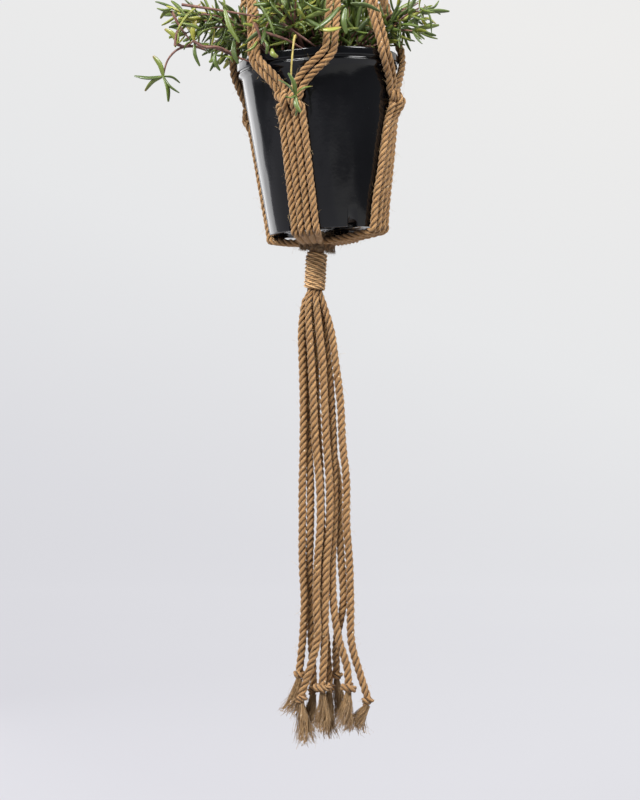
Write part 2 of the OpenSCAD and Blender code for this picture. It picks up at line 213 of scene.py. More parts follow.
def tube(t, line, ring, scale):
    """A closed tube along the line, its ring scaled from point to point."""
    return geo(t, "CurveToMesh", {0: line, 1: ring, "Scale": scale, "Fill Caps": True})


def chance(t, low, high, ident=None, seed=0):
    given = {2: low, 3: high, 8: seed}
    if ident is not None:
        given[7] = ident
    return add(t, "FunctionNodeRandomValue", given, data_type="FLOAT").outputs[1]


def new_tree(name, sizes):
    """An empty tree with a geometry input, the named sizes, and a geometry output."""
    t = bpy.data.node_groups.new(name, "GeometryNodeTree")
    t.interface.new_socket("Geometry", in_out="INPUT", socket_type="NodeSocketGeometry")
    for label, value in sizes:
        kind = "Int" if isinstance(value, int) else "Float"
        if value is None:
            kind = "Material"
        s = t.interface.new_socket(label, in_out="INPUT", socket_type="NodeSocket" + kind)
        if value is not None:
            s.default_value = value
    t.interface.new_socket("Geometry", in_out="OUTPUT", socket_type="NodeSocketGeometry")
    return t, t.nodes.new("NodeGroupInput").outputs, t.nodes.new("NodeGroupOutput").inputs


def route_curve(t, geometry, step):
    """The polylines as curves with a ring every step, each with its own frame stored."""
    line = geo(t, "MeshToCurve", {0: geometry})
    line = geo(t, "ResampleCurve", {0: line, "Length": step}, mode="LENGTH")
    spline = add(t, "GeometryNodeSplineParameter").outputs
    line = store(t, line, "along", "FLOAT", spline["Length"])
    line = store(t, line, "reach", "FLOAT", spline["Factor"])
    line = store(t, line, "way", "FLOAT_VECTOR", geo(t, "InputTangent"))
    line = store(t, line, "across", "FLOAT_VECTOR", geo(t, "InputNormal"))
    return store(t, line, "strand", "INT", geo(t, "InputIndex"), "CURVE")


def swung_out(t, angle):
    """The unit direction at an angle round the route."""
    way, across = recall(t, "way", "FLOAT_VECTOR"), recall(t, "across", "FLOAT_VECTOR")
    other = vector(t, "CROSS_PRODUCT", way, across)
    return vector(t, "ADD", scaled(t, across, calc(t, "COSINE", angle)),
                  scaled(t, other, calc(t, "SINE", angle)))


def thin_hair(t, curl, thickness):
    """One bent hair, a unit long."""
    line = geo(t, "CurvePrimitiveLine", {1: (0.0, 0.0, 1.0)})
    line = geo(t, "ResampleCurve", {0: line, "Count": 5})
    f = add(t, "GeometryNodeSplineParameter").outputs["Factor"]
    bend = combine(t, times(t, calc(t, "POWER", f, 1.7), curl),
                   times(t, calc(t, "SINE", times(t, f, 5.0)), curl * 0.3))
    line = geo(t, "SetPosition", {0: line, "Offset": bend})
    ring = circle(t, 3, thickness)
    thin = calc(t, "SUBTRACT", 1.0, times(t, f, 0.6))
    return tube(t, line, ring, thin)


def finish_tree(t, out, parts, choices):
    """Joins the parts, realizes them and gives each its material. A choice is an
    attribute that picks the faces, or None for all, and the material."""
    joined = add(t, "GeometryNodeJoinGeometry")
    for part in reversed(parts):
        t.links.new(part, joined.inputs[0])
    mesh = geo(t, "RealizeInstances", {0: joined.outputs[0]})
    for pick, material in choices:
        given = {0: mesh, "Material": material}
        if pick:
            given["Selection"] = calc(t, "GREATER_THAN", recall(t, pick), 0.5)
        mesh = geo(t, "SetMaterial", given)
    t.links.new(mesh, out[0])


def rope_tree():
    """Three plies laid right-handed along each route, with stray hairs."""
    t, given, out = new_tree("laid_rope", [
        ("Diameter", 0.007), ("Lay", 0.021), ("Step", 0.0014), ("Sides", 9), ("Hairs", 16000.0),
        ("Hair Length", 0.006), ("Seed", 1), ("Material", None)])
    line = route_curve(t, given["Geometry"], given["Step"])
    plies = add(t, "GeometryNodeDuplicateElements", {0: line, "Amount": 3}, domain="SPLINE").outputs
    strand, along, girth = recall(t, "strand", "INT"), recall(t, "along"), recall(t, "girth")
    number = plus(t, times(t, strand, 3.0), plies[1])
    line = store(t, plies[0], "tint", "FLOAT", chance(t, 0.0, 1.0, number, given["Seed"]), "CURVE")
    turn = calc(t, "DIVIDE", times(t, along, 2 * math.pi), given["Lay"])
    turn = plus(t, turn, times(t, plies[1], 2 * math.pi / 3))
    turn = plus(t, turn, chance(t, 0.0, 6.28, strand, given["Seed"]))
    here = geo(t, "InputPosition")
    line = store(t, line, "heart", "FLOAT_VECTOR", here)
    place = vector(t, "ADD", here, combine(t, times(t, number, 0.037)))
    slow = add(t, "ShaderNodeTexNoise", {"Vector": place, "Scale": 120.0, "Detail": 3.0}).outputs[0]
    ply_r = times(t, times(t, given["Diameter"], 0.25), girth)
    loose = times(t, ply_r, plus(t, 0.93, times(t, slow, 0.34)))
    line = store(t, line, "swell", "FLOAT", times(t, ply_r, calc(
        t, "SUBTRACT", 1.2, times(t, slow, 0.44))))
    line = geo(t, "SetPosition",
               {0: line, "Offset": scaled(t, swung_out(t, turn), loose)})
    ring = circle(t, given["Sides"], 1.0)
    ring = store(t, ring, "round", "FLOAT_VECTOR", geo(t, "InputPosition"))
    mesh = tube(t, line, ring, recall(t, "swell"))
    back = times(t, calc(t, "DIVIDE", along, given["Lay"]), -2 * math.pi)
    yarn = add(t, "ShaderNodeVectorRotate", {0: recall(t, "round", "FLOAT_VECTOR"), "Angle": back},
               rotation_type="Z_AXIS").outputs[0]
    yarn = vector(t, "ADD", yarn, combine(t, 0.0, 0.0, calc(
        t, "ADD", times(t, along, 26.0), times(t, number, 7.3))))
    mesh = store(t, mesh, "yarn", "FLOAT_VECTOR", yarn)
    rough = add(t, "ShaderNodeTexNoise", {"Vector": yarn, "Scale": 2.6, "Detail": 2.0}).outputs[0]
    rough = times(t, calc(t, "SUBTRACT", rough, 0.5), times(t, ply_r, 0.75))
    outward = geo(t, "InputNormal")
    mesh = geo(t, "SetPosition", {0: mesh, "Offset": scaled(t, outward, rough)})
    # How far the surface stands out from the ply's middle; the jute finish paints shade into the low parts with it.
    off = vector(t, "SUBTRACT", geo(t, "InputPosition"), recall(t, "heart", "FLOAT_VECTOR"))
    off = add(t, "ShaderNodeVectorMath", {0: off}, operation="LENGTH").outputs[1]
    mesh = store(t, mesh, "height", "FLOAT", calc(t, "DIVIDE", off, times(t, ply_r, 2.0)))
    mesh = geo(t, "SetShadeSmooth", {0: mesh})

    spots = add(t, "GeometryNodeDistributePointsOnFaces",
                {0: mesh, "Density": given["Hairs"], "Seed": given["Seed"]}).outputs
    sign = calc(t, "SIGN", chance(t, -1.0, 1.0, seed=4))
    lift = scaled(t, spots[1], chance(t, 0.25, 0.9, seed=5))
    lean = scaled(t, recall(t, "way", "FLOAT_VECTOR"), sign)
    wild = add(t, "FunctionNodeRandomValue", {0: (-0.5, -0.5, -0.5), 1: (0.5, 0.5, 0.5), 8: 6},
               data_type="FLOAT_VECTOR").outputs[0]
    aim = vector(t, "ADD", vector(t, "ADD", lift, lean), wild)
    spin = add(t, "FunctionNodeAxisAngleToRotation", {"Angle": chance(t, 0.0, 6.28, seed=7)}).outputs[0]
    facing = add(t, "FunctionNodeAlignRotationToVector", {0: spin, "Vector": aim}, axis="Z").outputs[0]
    size = times(t, given["Hair Length"], chance(t, 0.35, 1.5, seed=8))
    hairs = geo(t, "InstanceOnPoints",
                {0: spots[0], "Instance": thin_hair(t, 0.3, 0.012), "Rotation": facing, "Scale": size})
    hairs = store(t, hairs, "loose", "FLOAT", 1.0, "INSTANCE")
    finish_tree(t, out, [mesh, hairs], [(None, given["Material"])])
    return t


def fray_tree():
    """A rope's end combed out into fibres that spread along each route."""
    t, given, out = new_tree("frayed_end", [
        ("Fibres", 60), ("Start Width", 0.0026), ("Spread", 0.006), ("Thickness", 0.0002), ("Wave", 0.002),
        ("Seed", 1), ("Material", None)])
    line = geo(t, "MeshToCurve", {0: given["Geometry"]})
    line = geo(t, "ResampleCurve", {0: line, "Count": 9})
    f = add(t, "GeometryNodeSplineParameter").outputs["Factor"]
    line = store(t, line, "reach", "FLOAT", f)
    line = store(t, line, "way", "FLOAT_VECTOR", geo(t, "InputTangent"))
    line = store(t, line, "across", "FLOAT_VECTOR", geo(t, "InputNormal"))
    many = add(t, "GeometryNodeDuplicateElements", {0: line, "Amount": given["Fibres"]}, domain="SPLINE").outputs
    number, reach = plus(t, many[1], 0.0), recall(t, "reach")
    line = store(t, many[0], "tint", "FLOAT", chance(t, 0.0, 1.0, number, given["Seed"]), "CURVE")
    line = store(t, line, "loose", "FLOAT", chance(t, 0.0, 0.7, number, 9), "CURVE")
    angle = plus(t, chance(t, 0.0, 6.28, number, given["Seed"]), times(t, reach, 1.2))
    out_by = calc(t, "SQRT", chance(t, 0.0, 1.0, number, 3))
    open_by = times(t, calc(t, "POWER", reach, 1.4), given["Spread"])
    push = times(t, out_by, plus(t, given["Start Width"], open_by))
    here = geo(t, "InputPosition")
    place = vector(t, "ADD", here, combine(t, times(t, number, 0.013)))
    wavy = add(t, "ShaderNodeTexNoise", {"Vector": place, "Scale": 95.0, "Detail": 1.0}).outputs[1]
    wavy = vector(t, "SUBTRACT", wavy, (0.5, 0.5, 0.5))
    wavy = scaled(t, wavy, times(t, times(t, reach, given["Wave"]), 2.4))
    shift = vector(t, "ADD", scaled(t, swung_out(t, angle), push), wavy)
    line = geo(t, "SetPosition", {0: line, "Offset": shift})
    line = geo(t, "TrimCurve", {0: line, "End": chance(t, 0.62, 1.0, number, 11)})
    ring = circle(t, 3, given["Thickness"])
    thin = calc(t, "SUBTRACT", chance(t, 0.7, 1.5, number, 12), times(t, reach, 0.5))
    mesh = tube(t, line, ring, thin)
    mesh = store(t, mesh, "yarn", "FLOAT_VECTOR", scaled(t, here, 300.0))
    finish_tree(t, out, [mesh], [(None, given["Material"])])
    return t


def fleshy_leaf(t):
    """One narrow, blunt leaf a unit long, a little cupped."""
    line = geo(t, "CurvePrimitiveLine", {1: (0.0, 0.0, 1.0)})
    line = geo(t, "ResampleCurve", {0: line, "Count": 7})
    f = add(t, "GeometryNodeSplineParameter").outputs["Factor"]
    bend = combine(t, times(t, times(t, f, f), 0.42))
    line = geo(t, "SetPosition", {0: line, "Offset": bend})
    ring = circle(t, 6, 0.098)
    full = calc(t, "SINE", plus(t, 0.32, times(t, f, 2.62)))
    blade = tube(t, line, ring, calc(t, "POWER", full, 0.6))
    blade = store(t, blade, "blade", "FLOAT", f)
    blade = geo(t, "SetShadeSmooth", {0: blade})
    return geo(t, "Transform", {0: blade, "Scale": (0.5, 1.0, 1.0)})


def sprig_tree():
    """Stems with whorls of fleshy leaves, held closer to the stem towards each tip."""
    t, given, out = new_tree("leafy_stem", [
        ("Stem", 0.0011), ("Leaf", 0.022), ("Whorl Step", 0.0075), ("Leaves Per Whorl", 3), ("Bare", 0.3),
        ("Open", 1.0), ("Seed", 1), ("Leaf Material", None), ("Stem Material", None)])
    line = route_curve(t, given["Geometry"], 0.004)
    ring = circle(t, 7, given["Stem"])
    thin = calc(t, "SUBTRACT", 1.35, times(t, recall(t, "reach"), 0.75))
    bulge = add(t, "ShaderNodeTexNoise", {"Scale": 260.0, "Detail": 1.0}).outputs[0]
    thin = times(t, thin, plus(t, 0.8, times(t, bulge, 0.4)))
    stems = tube(t, line, ring, thin)
    stems = geo(t, "SetShadeSmooth", {0: stems})
    stems = store(t, stems, "stalk", "FLOAT", 1.0)

    nodes = geo(t, "ResampleCurve", {0: line, "Length": given["Whorl Step"]}, mode="LENGTH")
    nodes = geo(t, "CurveToPoints", {0: nodes}, mode="EVALUATED")
    reach = recall(t, "reach")
    keep = add(t, "FunctionNodeCompare", {0: reach, 1: given["Bare"]}, operation="LESS_THAN").outputs[0]
    nodes = geo(t, "DeleteGeometry", {0: nodes, "Selection": keep})
    nodes = store(t, nodes, "node_number", "INT", geo(t, "InputIndex"))
    whorl = add(t, "GeometryNodeDuplicateElements", {0: nodes, "Amount": given["Leaves Per Whorl"]},
                domain="POINT").outputs
    number = plus(t, times(t, recall(t, "node_number", "INT"), 9.0), whorl[1])
    angle = plus(t, times(t, whorl[1], 2.4), calc(
        t, "MULTIPLY", recall(t, "node_number", "INT"), 1.1))
    angle = plus(t, angle, chance(t, -0.5, 0.5, number, given["Seed"]))
    tilt = times(t, given["Open"], chance(t, 0.65, 1.45, number, 21))
    tilt = times(t, tilt, calc(t, "SUBTRACT", 1.12, times(t, calc(
        t, "POWER", reach, 6.0), 0.35)))
    way = recall(t, "way", "FLOAT_VECTOR")
    aim = vector(t, "ADD", scaled(t, way, calc(t, "COSINE", tilt)),
                 scaled(t, swung_out(t, angle), calc(t, "SINE", tilt)))
    facing = add(t, "FunctionNodeAlignRotationToVector", {"Vector": aim}, axis="Z").outputs[0]
    facing = add(t, "FunctionNodeAlignRotationToVector", {0: facing, "Vector": way}, axis="X",
                 pivot_axis="Z").outputs[0]
    size = times(t, given["Leaf"], chance(t, 0.5, 1.2, number, 22))
    leaves = geo(t, "InstanceOnPoints", {0: whorl[0], "Instance": fleshy_leaf(t),
                                                    "Rotation": facing, "Scale": size})
    leaves = store(t, leaves, "tint", "FLOAT", chance(t, 0.0, 1.0, number, 23), "INSTANCE")
    finish_tree(t, out, [stems, leaves], [(None, given["Leaf Material"]), ("stalk", given["Stem Material"])])
    return t


def blade_tree():
    """One fleshy leaf along each route, flat across the way it faces."""
    t, given, out = new_tree("single_leaves", [("Width", 0.0052), ("Fatness", 0.45), ("Seed", 1), ("Material", None)])
    line = geo(t, "MeshToCurve", {0: given["Geometry"]})
    line = geo(t, "ResampleCurve", {0: line, "Count": 15})
    line = store(t, line, "strand", "INT", geo(t, "InputIndex"), "CURVE")
    f = add(t, "GeometryNodeSplineParameter").outputs["Factor"]
    number = recall(t, "strand", "INT")
    tilt = chance(t, -0.9, 0.9, number, given["Seed"])
    line = geo(t, "SetCurveTilt", {0: line, "Tilt": tilt})
    line = store(t, line, "blade", "FLOAT", f)
    line = store(t, line, "tint", "FLOAT", chance(t, 0.0, 0.98, number, given["Seed"]), "CURVE")
    ring = circle(t, 10, 0.5)
    ring = geo(t, "Transform", {0: ring, "Scale": combine(t, 1.0, given["Fatness"], 1.0)})
    full = calc(t, "POWER", calc(t, "SINE", plus(t, 0.28, times(t, f, 2.68))), 0.55)
    wide = times(t, full, times(t, given["Width"], chance(t, 0.75, 1.15, number, 3)))
    mesh = tube(t, line, ring, wide)
    mesh = geo(t, "SetShadeSmooth", {0: mesh})
    finish_tree(t, out, [mesh], [(None, given["Material"])])
    return t


def crumb_tree():
    """Crumbs of potting mix scattered over a surface."""
    t, given, out = new_tree("crumbs", [("Density", 60000.0), ("Crumb", 0.0024), ("Seed", 1), ("Material", None)])
    spots = add(t, "GeometryNodeDistributePointsOnFaces",
                {0: given["Geometry"], "Density": given["Density"], "Seed": given["Seed"]}).outputs
    crumb = geo(t, "MeshIcoSphere", {"Radius": 1.0, "Subdivisions": 1})
    facing = add(t, "FunctionNodeRandomValue", {0: (0.0, 0.0, 0.0), 1: (6.28, 6.28, 6.28), 8: 2},
                 data_type="FLOAT_VECTOR").outputs[0]
    facing = add(t, "FunctionNodeEulerToRotation", {0: facing}).outputs[0]
    size = add(t, "FunctionNodeRandomValue", {0: (0.3, 0.3, 0.25), 1: (1.0, 0.8, 0.6), 8: 3},
               data_type="FLOAT_VECTOR").outputs[0]
    size = scaled(t, size, given["Crumb"])
    crumbs = geo(t, "InstanceOnPoints",
                 {0: spots[0], "Instance": crumb, "Rotation": facing, "Scale": size})
    finish_tree(t, out, [given["Geometry"], crumbs], [(None, given["Material"])])
    return t


def stand(name, data):
    """A new object in the scene that holds the data."""
    thing = bpy.data.objects.new(name, data)
    bpy.context.scene.collection.objects.link(thing)
    return thing


def routes_mesh(name, routes, girths=None):
    """Bare lines as one mesh in metres, with a girth at each point, 1 for full thickness."""
    mesh = bpy.data.meshes.new(name)
    points, edges, girth = [], [], []
    for n, route in enumerate(routes):
        first = len(points)
        points += [Vector(p) * MM for p in route]
        edges += [(i, i + 1) for i in range(first, len(points) - 1)]
        girth += spread_over(girths[n], len(route)) if girths else [1.0] * len(route)
    mesh.from_pydata(points, edges, [])
    mesh.attributes.new("girth", "FLOAT", "POINT").data.foreach_set("value", girth)
    return mesh


def grow(name, tree, mesh, **settings):
    """Runs a tree on a mesh and gives the plain piece. Settings are the tree's named inputs."""
    host = stand(name, mesh)
    modifier = host.modifiers.new("grow", "NODES")
    modifier.node_group = tree
    for item in tree.interface.items_tree:
        if item.item_type == "SOCKET" and item.in_out == "INPUT":
            value = settings.get(item.name.replace(" ", "_").lower())
            if value is not None:
                modifier[item.identifier] = value
    graph = bpy.context.evaluated_depsgraph_get()
    made = bpy.data.meshes.new_from_object(host.evaluated_get(graph), depsgraph=graph)
    made.name = name
    host.modifiers.remove(modifier)
    host.data = made
    bpy.data.meshes.remove(mesh)
    for spare in ("way", "across", "round", "strand", "swell", "girth", "along", "node_number", "heart"):
        if spare in made.attributes:
            made.attributes.remove(made.attributes[spare])
    return host


# ---------------------------------------------------------------- materials

def new_material(name):
    m = bpy.data.materials.new(name)
    m.use_nodes = True
    return m, m.node_tree, m.node_tree.nodes["Principled BSDF"]


def fill(shader, values):
    for socket, value in values.items():
        shader.inputs[socket].default_value = value


def own_place(t):
    return add(t, "ShaderNodeTexCoord").outputs["Object"]


def ramp(t, fac, stops):
    """Colours run between stops, each a place and a colour."""
    n = add(t, "ShaderNodeValToRGB", {0: fac})
    while len(n.color_ramp.elements) < len(stops):
        n.color_ramp.elements.new(0.5)
    for element, (place, colour) in zip(n.color_ramp.elements, stops):
        element.position, element.color = place, (*colour, 1.0)
    return n.outputs[0]


def blend_colour(t, fac, a, b):
    n = t.nodes.new("ShaderNodeMix")
    n.data_type = "RGBA"
    for socket, value in ((0, fac), (6, a), (7, b)):
        if isinstance(value, bpy.types.NodeSocket):
            t.links.new(value, n.inputs[socket])
        else:
            n.inputs[socket].default_value = value if socket == 0 else (*value, 1.0)
    return n.outputs[2]


def noise_of(t, place, scale, detail=3.0, rough=0.5):
    return add(t, "ShaderNodeTexNoise", {"Vector": place, "Scale": scale, "Detail": detail,
                                         "Roughness": rough}).outputs[0]


def attribute(t, name):
    return add(t, "ShaderNodeAttribute", attribute_name=name).outputs


def bump(t, height, strength, distance, shader, under=None):
    given = {"Height": height, "Strength": strength, "Distance": distance}
    if under is not None:
        given["Normal"] = under
    n = add(t, "ShaderNodeBump", given)
    t.links.new(n.outputs[0], shader.inputs["Normal"])
    return n.outputs[0]


def jute(name, dark, mid, light, hair, painted_valley_shade=True):
    """Jute: streaks of fibre along each yarn, paler stray hairs, a few pale flecks, and, where asked, painted shade
    in the valleys between the plies.
    """
    m, t, shader = new_material(name)
    yarn = attribute(t, "yarn")["Vector"]
    place = own_place(t)
    streak = noise_of(t, yarn, 4.5, 4.0, 0.65)
    fine = noise_of(t, yarn, 13.0, 2.0, 0.6)
    mixed = plus(t, times(t, streak, 0.62), times(t, fine, 0.38))
    colour = ramp(t, mixed, [(0.34, dark), (0.52, mid), (0.68, light)])
    patch = noise_of(t, place, 42.0, 3.0)
    colour = blend_colour(t, times(t, calc(t, "SUBTRACT", patch, 0.35), 0.9), colour,
                          [c * k for c, k in zip(mid, (0.80, 0.72, 0.62))])
    tint = attribute(t, "tint")["Fac"]
    colour = blend_colour(t, times(t, tint, 0.22), colour, light)
    # Painted shade: where the surface lies low between the plies, the colour is darkened towards a third of the dark
    # colour.
    if painted_valley_shade:
        height = add(t, "ShaderNodeMapRange", {"Value": attribute(t, "height")["Fac"], "From Min": 0.62,
                                               "From Max": 0.97, "To Min": 0.85, "To Max": 0.0}).outputs[0]
        colour = blend_colour(t, height, colour, [c * 0.3 for c in dark])
    fleck = calc(t, "GREATER_THAN", noise_of(t, place, 330.0, 1.0), 0.755)
    colour = blend_colour(t, times(t, fleck, 0.6), colour, (0.78, 0.68, 0.5))
    colour = blend_colour(t, attribute(t, "loose")["Fac"], colour, hair)
    t.links.new(colour, shader.inputs["Base Color"])
    fill(shader, {"Roughness": 0.85, "Specular IOR Level": 0.25, "Sheen Weight": 0.18, "Sheen Roughness": 0.5})
    bump(t, mixed, 1.0, 0.0009, shader)
    return m


def black_plastic():
    """Moulded glossy plastic with faint waves, dust and fine scuffs."""
    m, t, shader = new_material("glossy_pot_plastic")
    place = own_place(t)
    dust = noise_of(t, place, 190.0, 4.0, 0.7)
    cloud = noise_of(t, place, 16.0, 3.0)
    t.links.new(ramp(t, cloud, [(0.3, (0.0020, 0.0021, 0.0028)), (0.75, (0.0042, 0.0044, 0.0056))]),
                shader.inputs["Base Color"])
    rough = plus(t, 0.06, times(t, cloud, 0.12))
    rough = plus(t, rough, times(t, calc(t, "GREATER_THAN", dust, 0.68), 0.16))
    t.links.new(rough, shader.inputs["Roughness"])
    fill(shader, {"Specular IOR Level": 0.36})
    stretched = add(t, "ShaderNodeMapping", {"Vector": place, "Scale": (14.0, 14.0, 4.0)}).outputs[0]
    wave = noise_of(t, stretched, 2.2, 2.0)
    first = bump(t, wave, 0.35, 0.004, shader)
    bump(t, dust, 0.12, 0.0004, shader, first)
    return m


def leaf_green():
    """Fleshy leaves: mid green, some yellower, red at a few tips."""
    m, t, shader = new_material("fleshy_leaf")
    place = own_place(t)
    tint = attribute(t, "tint")["Fac"]
    blade = attribute(t, "blade")["Fac"]
    colour = ramp(t, tint, [(0.0, (0.027, 0.049, 0.008)), (0.45, (0.063, 0.097, 0.013)),
                            (0.8, (0.125, 0.158, 0.021)), (1.0, (0.36, 0.33, 0.05))])
    mottle = noise_of(t, place, 420.0, 3.0)
    colour = blend_colour(t, times(t, mottle, 0.35), colour, (0.15, 0.20, 0.045))
    tip = times(t, calc(t, "POWER", blade, 9.0), calc(t, "GREATER_THAN", tint, 0.7))
    colour = blend_colour(t, times(t, tip, 0.6), colour, (0.20, 0.06, 0.03))
    t.links.new(colour, shader.inputs["Base Color"])
    t.links.new(plus(t, 0.36, times(t, mottle, 0.2)), shader.inputs["Roughness"])
    fill(shader, {"Subsurface Weight": 0.12, "Subsurface Radius": (0.0012, 0.002, 0.0006), "Coat Weight": 0.12})
    bump(t, mottle, 0.25, 0.0003, shader)
    return m


def stem_bark(name, dark, mid, light):
    m, t, shader = new_material(name)
    place = own_place(t)
    long_grain = noise_of(t, place, 260.0, 4.0, 0.6)
    t.links.new(ramp(t, long_grain, [(0.3, dark), (0.55, mid), (0.8, light)]), shader.inputs["Base Color"])
    fill(shader, {"Roughness": 0.6})
    bump(t, long_grain, 0.5, 0.0004, shader)
    return m


def damp_soil():
    m, t, shader = new_material("damp_potting_mix")
    place = own_place(t)
    grit = noise_of(t, place, 300.0, 5.0, 0.7)
    t.links.new(ramp(t, grit, [(0.3, (0.010, 0.006, 0.004)), (0.6, (0.045, 0.027, 0.017)),
                               (0.8, (0.14, 0.10, 0.07))]), shader.inputs["Base Color"])
    fill(shader, {"Roughness": 0.95})
    bump(t, grit, 0.8, 0.0012, shader)
    return m


def turned_wood():
    """Pale turned wood, its grain drawn across the ring, with darker pores."""
    m, t, shader = new_material("pale_turned_wood")
    place = own_place(t)
    along = add(t, "ShaderNodeMapping", {"Vector": place, "Scale": (1.0, 9.0, 9.0)}).outputs[0]
    grain = noise_of(t, along, 26.0, 5.0, 0.6)
    pores = noise_of(t, along, 120.0, 2.0)
    colour = ramp(t, grain, [(0.32, (0.40, 0.23, 0.10)), (0.5, (0.58, 0.38, 0.19)), (0.7, (0.70, 0.50, 0.28))])
    colour = blend_colour(t, times(t, calc(t, "LESS_THAN", pores, 0.36), 0.55), colour,
                          (0.22, 0.11, 0.045))
    t.links.new(colour, shader.inputs["Base Color"])
    t.links.new(plus(t, 0.38, times(t, grain, 0.25)), shader.inputs["Roughness"])
    bump(t, grain, 0.25, 0.0004, shader)
    return m


def studio_paper():
    """Seamless pale paper that glows by itself, painted light graded darker and bluer towards the near floor and
    brighter higher up and to the right.
    """
    m, t, shader = new_material("studio_paper")
    place = own_place(t)
    axes = add(t, "ShaderNodeSeparateXYZ", {0: place}).outputs
    # Painted light: the grade follows height over distance, so the glow falls off towards the near floor.
    away = calc(t, "MAXIMUM", plus(t, axes["Y"], 2.0), 1.4)
    rise = calc(t, "DIVIDE", plus(t, axes["Z"], 0.81), away)
    rise = plus(t, rise, times(t, calc(t, "DIVIDE", axes["X"], away), 0.35))
    rise = plus(t, rise, times(t, noise_of(t, place, 1.4), 0.02))
    fac = add(t, "ShaderNodeMapRange", {"Value": rise, "From Min": -0.21, "From Max": 0.24}).outputs[0]
    colour = ramp(t, fac, [(0.0, (0.655, 0.65, 0.695)), (0.3, (0.72, 0.72, 0.755)), (0.62, (0.815, 0.82, 0.83)),
                           (1.0, (0.865, 0.86, 0.85))])
    # The paper's own colour is kept dim and the graded colour is given as glow: painted light.
    t.links.new(blend_colour(t, 0.92, colour, (0.0, 0.0, 0.0)), shader.inputs["Base Color"])
    t.links.new(colour, shader.inputs["Emission Color"])
    fill(shader, {"Emission Strength": 0.93, "Roughness": 0.9})
    return m


rope_finish = jute("jute_rope_fibre", (0.115, 0.053, 0.020), (0.325, 0.172, 0.066), (0.545, 0.335, 0.140),
                   (0.50, 0.34, 0.155))
# The twine's colours are raised to make up for the shade that falls on the bottom wrapping under the gather and pot:
# painted light, so the unshaded top wrapping reads paler than the ropes.
twine_with_painted_light = jute("jute_twine_fibre", (0.300, 0.155, 0.065), (0.760, 0.450, 0.200), (0.920, 0.660, 0.350),
                    (0.66, 0.46, 0.23))
fray_finish = jute("combed_jute_fibre", (0.120, 0.064, 0.028), (0.295, 0.168, 0.072), (0.480, 0.305, 0.140),
                   (0.42, 0.27, 0.125), painted_valley_shade=False)
felt_finish = jute("matted_jute_fibre", (0.075, 0.043, 0.023), (0.220, 0.132, 0.066), (0.400, 0.265, 0.140),
                   (0.30, 0.21, 0.12), painted_valley_shade=False)
plastic_finish, leaf_finish = black_plastic(), leaf_green()
stem_finish = stem_bark("red_brown_stem", (0.060, 0.024, 0.019), (0.140, 0.058, 0.042), (0.26, 0.15, 0.080))
green_stem = stem_bark("yellow_green_stem", (0.20, 0.15, 0.035), (0.36, 0.28, 0.070), (0.50, 0.40, 0.12))
laid_rope, frayed_end, crumbs = rope_tree(), fray_tree(), crumb_tree()
leafy_stem, single_leaves = sprig_tree(), blade_tree()


def place_piece(piece, body, slot, *nodes):
    """Sets a finished piece on its body and hides the solids it shows; slot is not used."""
    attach(piece, body)
    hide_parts(*nodes)
    return piece


def rope_piece(name, routes, girths=None, finish=None, **settings):
    return grow(name, laid_rope, routes_mesh(name, routes, girths), material=finish or rope_finish, **settings)


# ---------------------------------------------------------------- camera and cords

def set_camera():
    data = bpy.data.cameras.new("view")
    data.sensor_fit, data.sensor_height, data.lens = "VERTICAL", 36.0, 85.5
    camera = stand("view", data)
    camera.location, camera.rotation_euler = (0.003, -1.9, -0.809), (math.pi / 2, 0.0, 0.0)
    bpy.context.scene.camera = camera


def end_knot(n, middle):
    """A tight overhand knot at a strand's end: a turn and a half drawn hard round the rope."""
    r, turns, thick = {4: (6.4, 1.3, 1.0), 6: (5.2, 1.4, 1.15), 1: (3.3, 1.5, 1.05), 8: (3.1, 1.5, 1.1)}.get(
        n, (3.6, 1.4, 1.0))
    tilt = Matrix.Rotation(0.22 * math.sin(n * 2.0), 3, "X") @ Matrix.Rotation(0.3 * math.cos(n * 1.3), 3, "Y")
    loop = []
    for i in range(49):
        f = i / 48
        a = 2 * math.pi * turns * f + n
        into = 1 - 0.75 * max(0.0, 1 - f * 6, 1 - (1 - f) * 6)
        flat = Vector((r * into * math.cos(a), 0.8 * r * into * math.sin(a), (0.5 - f) * 4.4 + 0.8 * math.sin(2 * a)))
        loop.append(middle + tilt @ flat)
    return rope_piece(f"end_knot_{n}", [loop], [[0.6 * thick, 0.92 * thick, 0.95 * thick, 0.6 * thick]], lay=0.021,
                      step=0.0009, hairs=30000.0, hair_length=0.005, seed=40 + n)


def frayed_tail(n, start, tip):
    """The combed-out end below a knot: thick yarns, finer threads and loose fibres."""
    bow = Vector((math.sin(n * 2.1), math.cos(n * 1.7), 0)) * 3
    route = smooth([start, start.lerp(tip, 0.35) + bow * 0.6, start.lerp(tip, 0.7) + bow, tip], 5)
    kinds = (("yarns", 26, 0.0025, 0.0072, 0.00062, 0.0055), ("threads", 70, 0.0028, 0.0088, 0.0003, 0.007),
             ("fibres", 80, 0.003, 0.0115, 0.00013, 0.010))
    parts = [grow(f"{kind}_{n}", frayed_end, routes_mesh(kind, [route]), fibres=count, start_width=width,
                  spread=spread * (0.8 + 0.1 * (n * 3 % 5)), thickness=thick, wave=wave, seed=n + 20 * i,
                  material=fray_finish) for i, (kind, count, width, spread, thick, wave) in enumerate(kinds)]
    return joined(*parts)


def joined(*pieces):
    """One piece from several that share a body."""
    with bpy.context.temp_override(active_object=pieces[0], object=pieces[0], selected_objects=list(pieces),
                                   selected_editable_objects=list(pieces)):
        bpy.ops.object.join()
    return pieces[0]


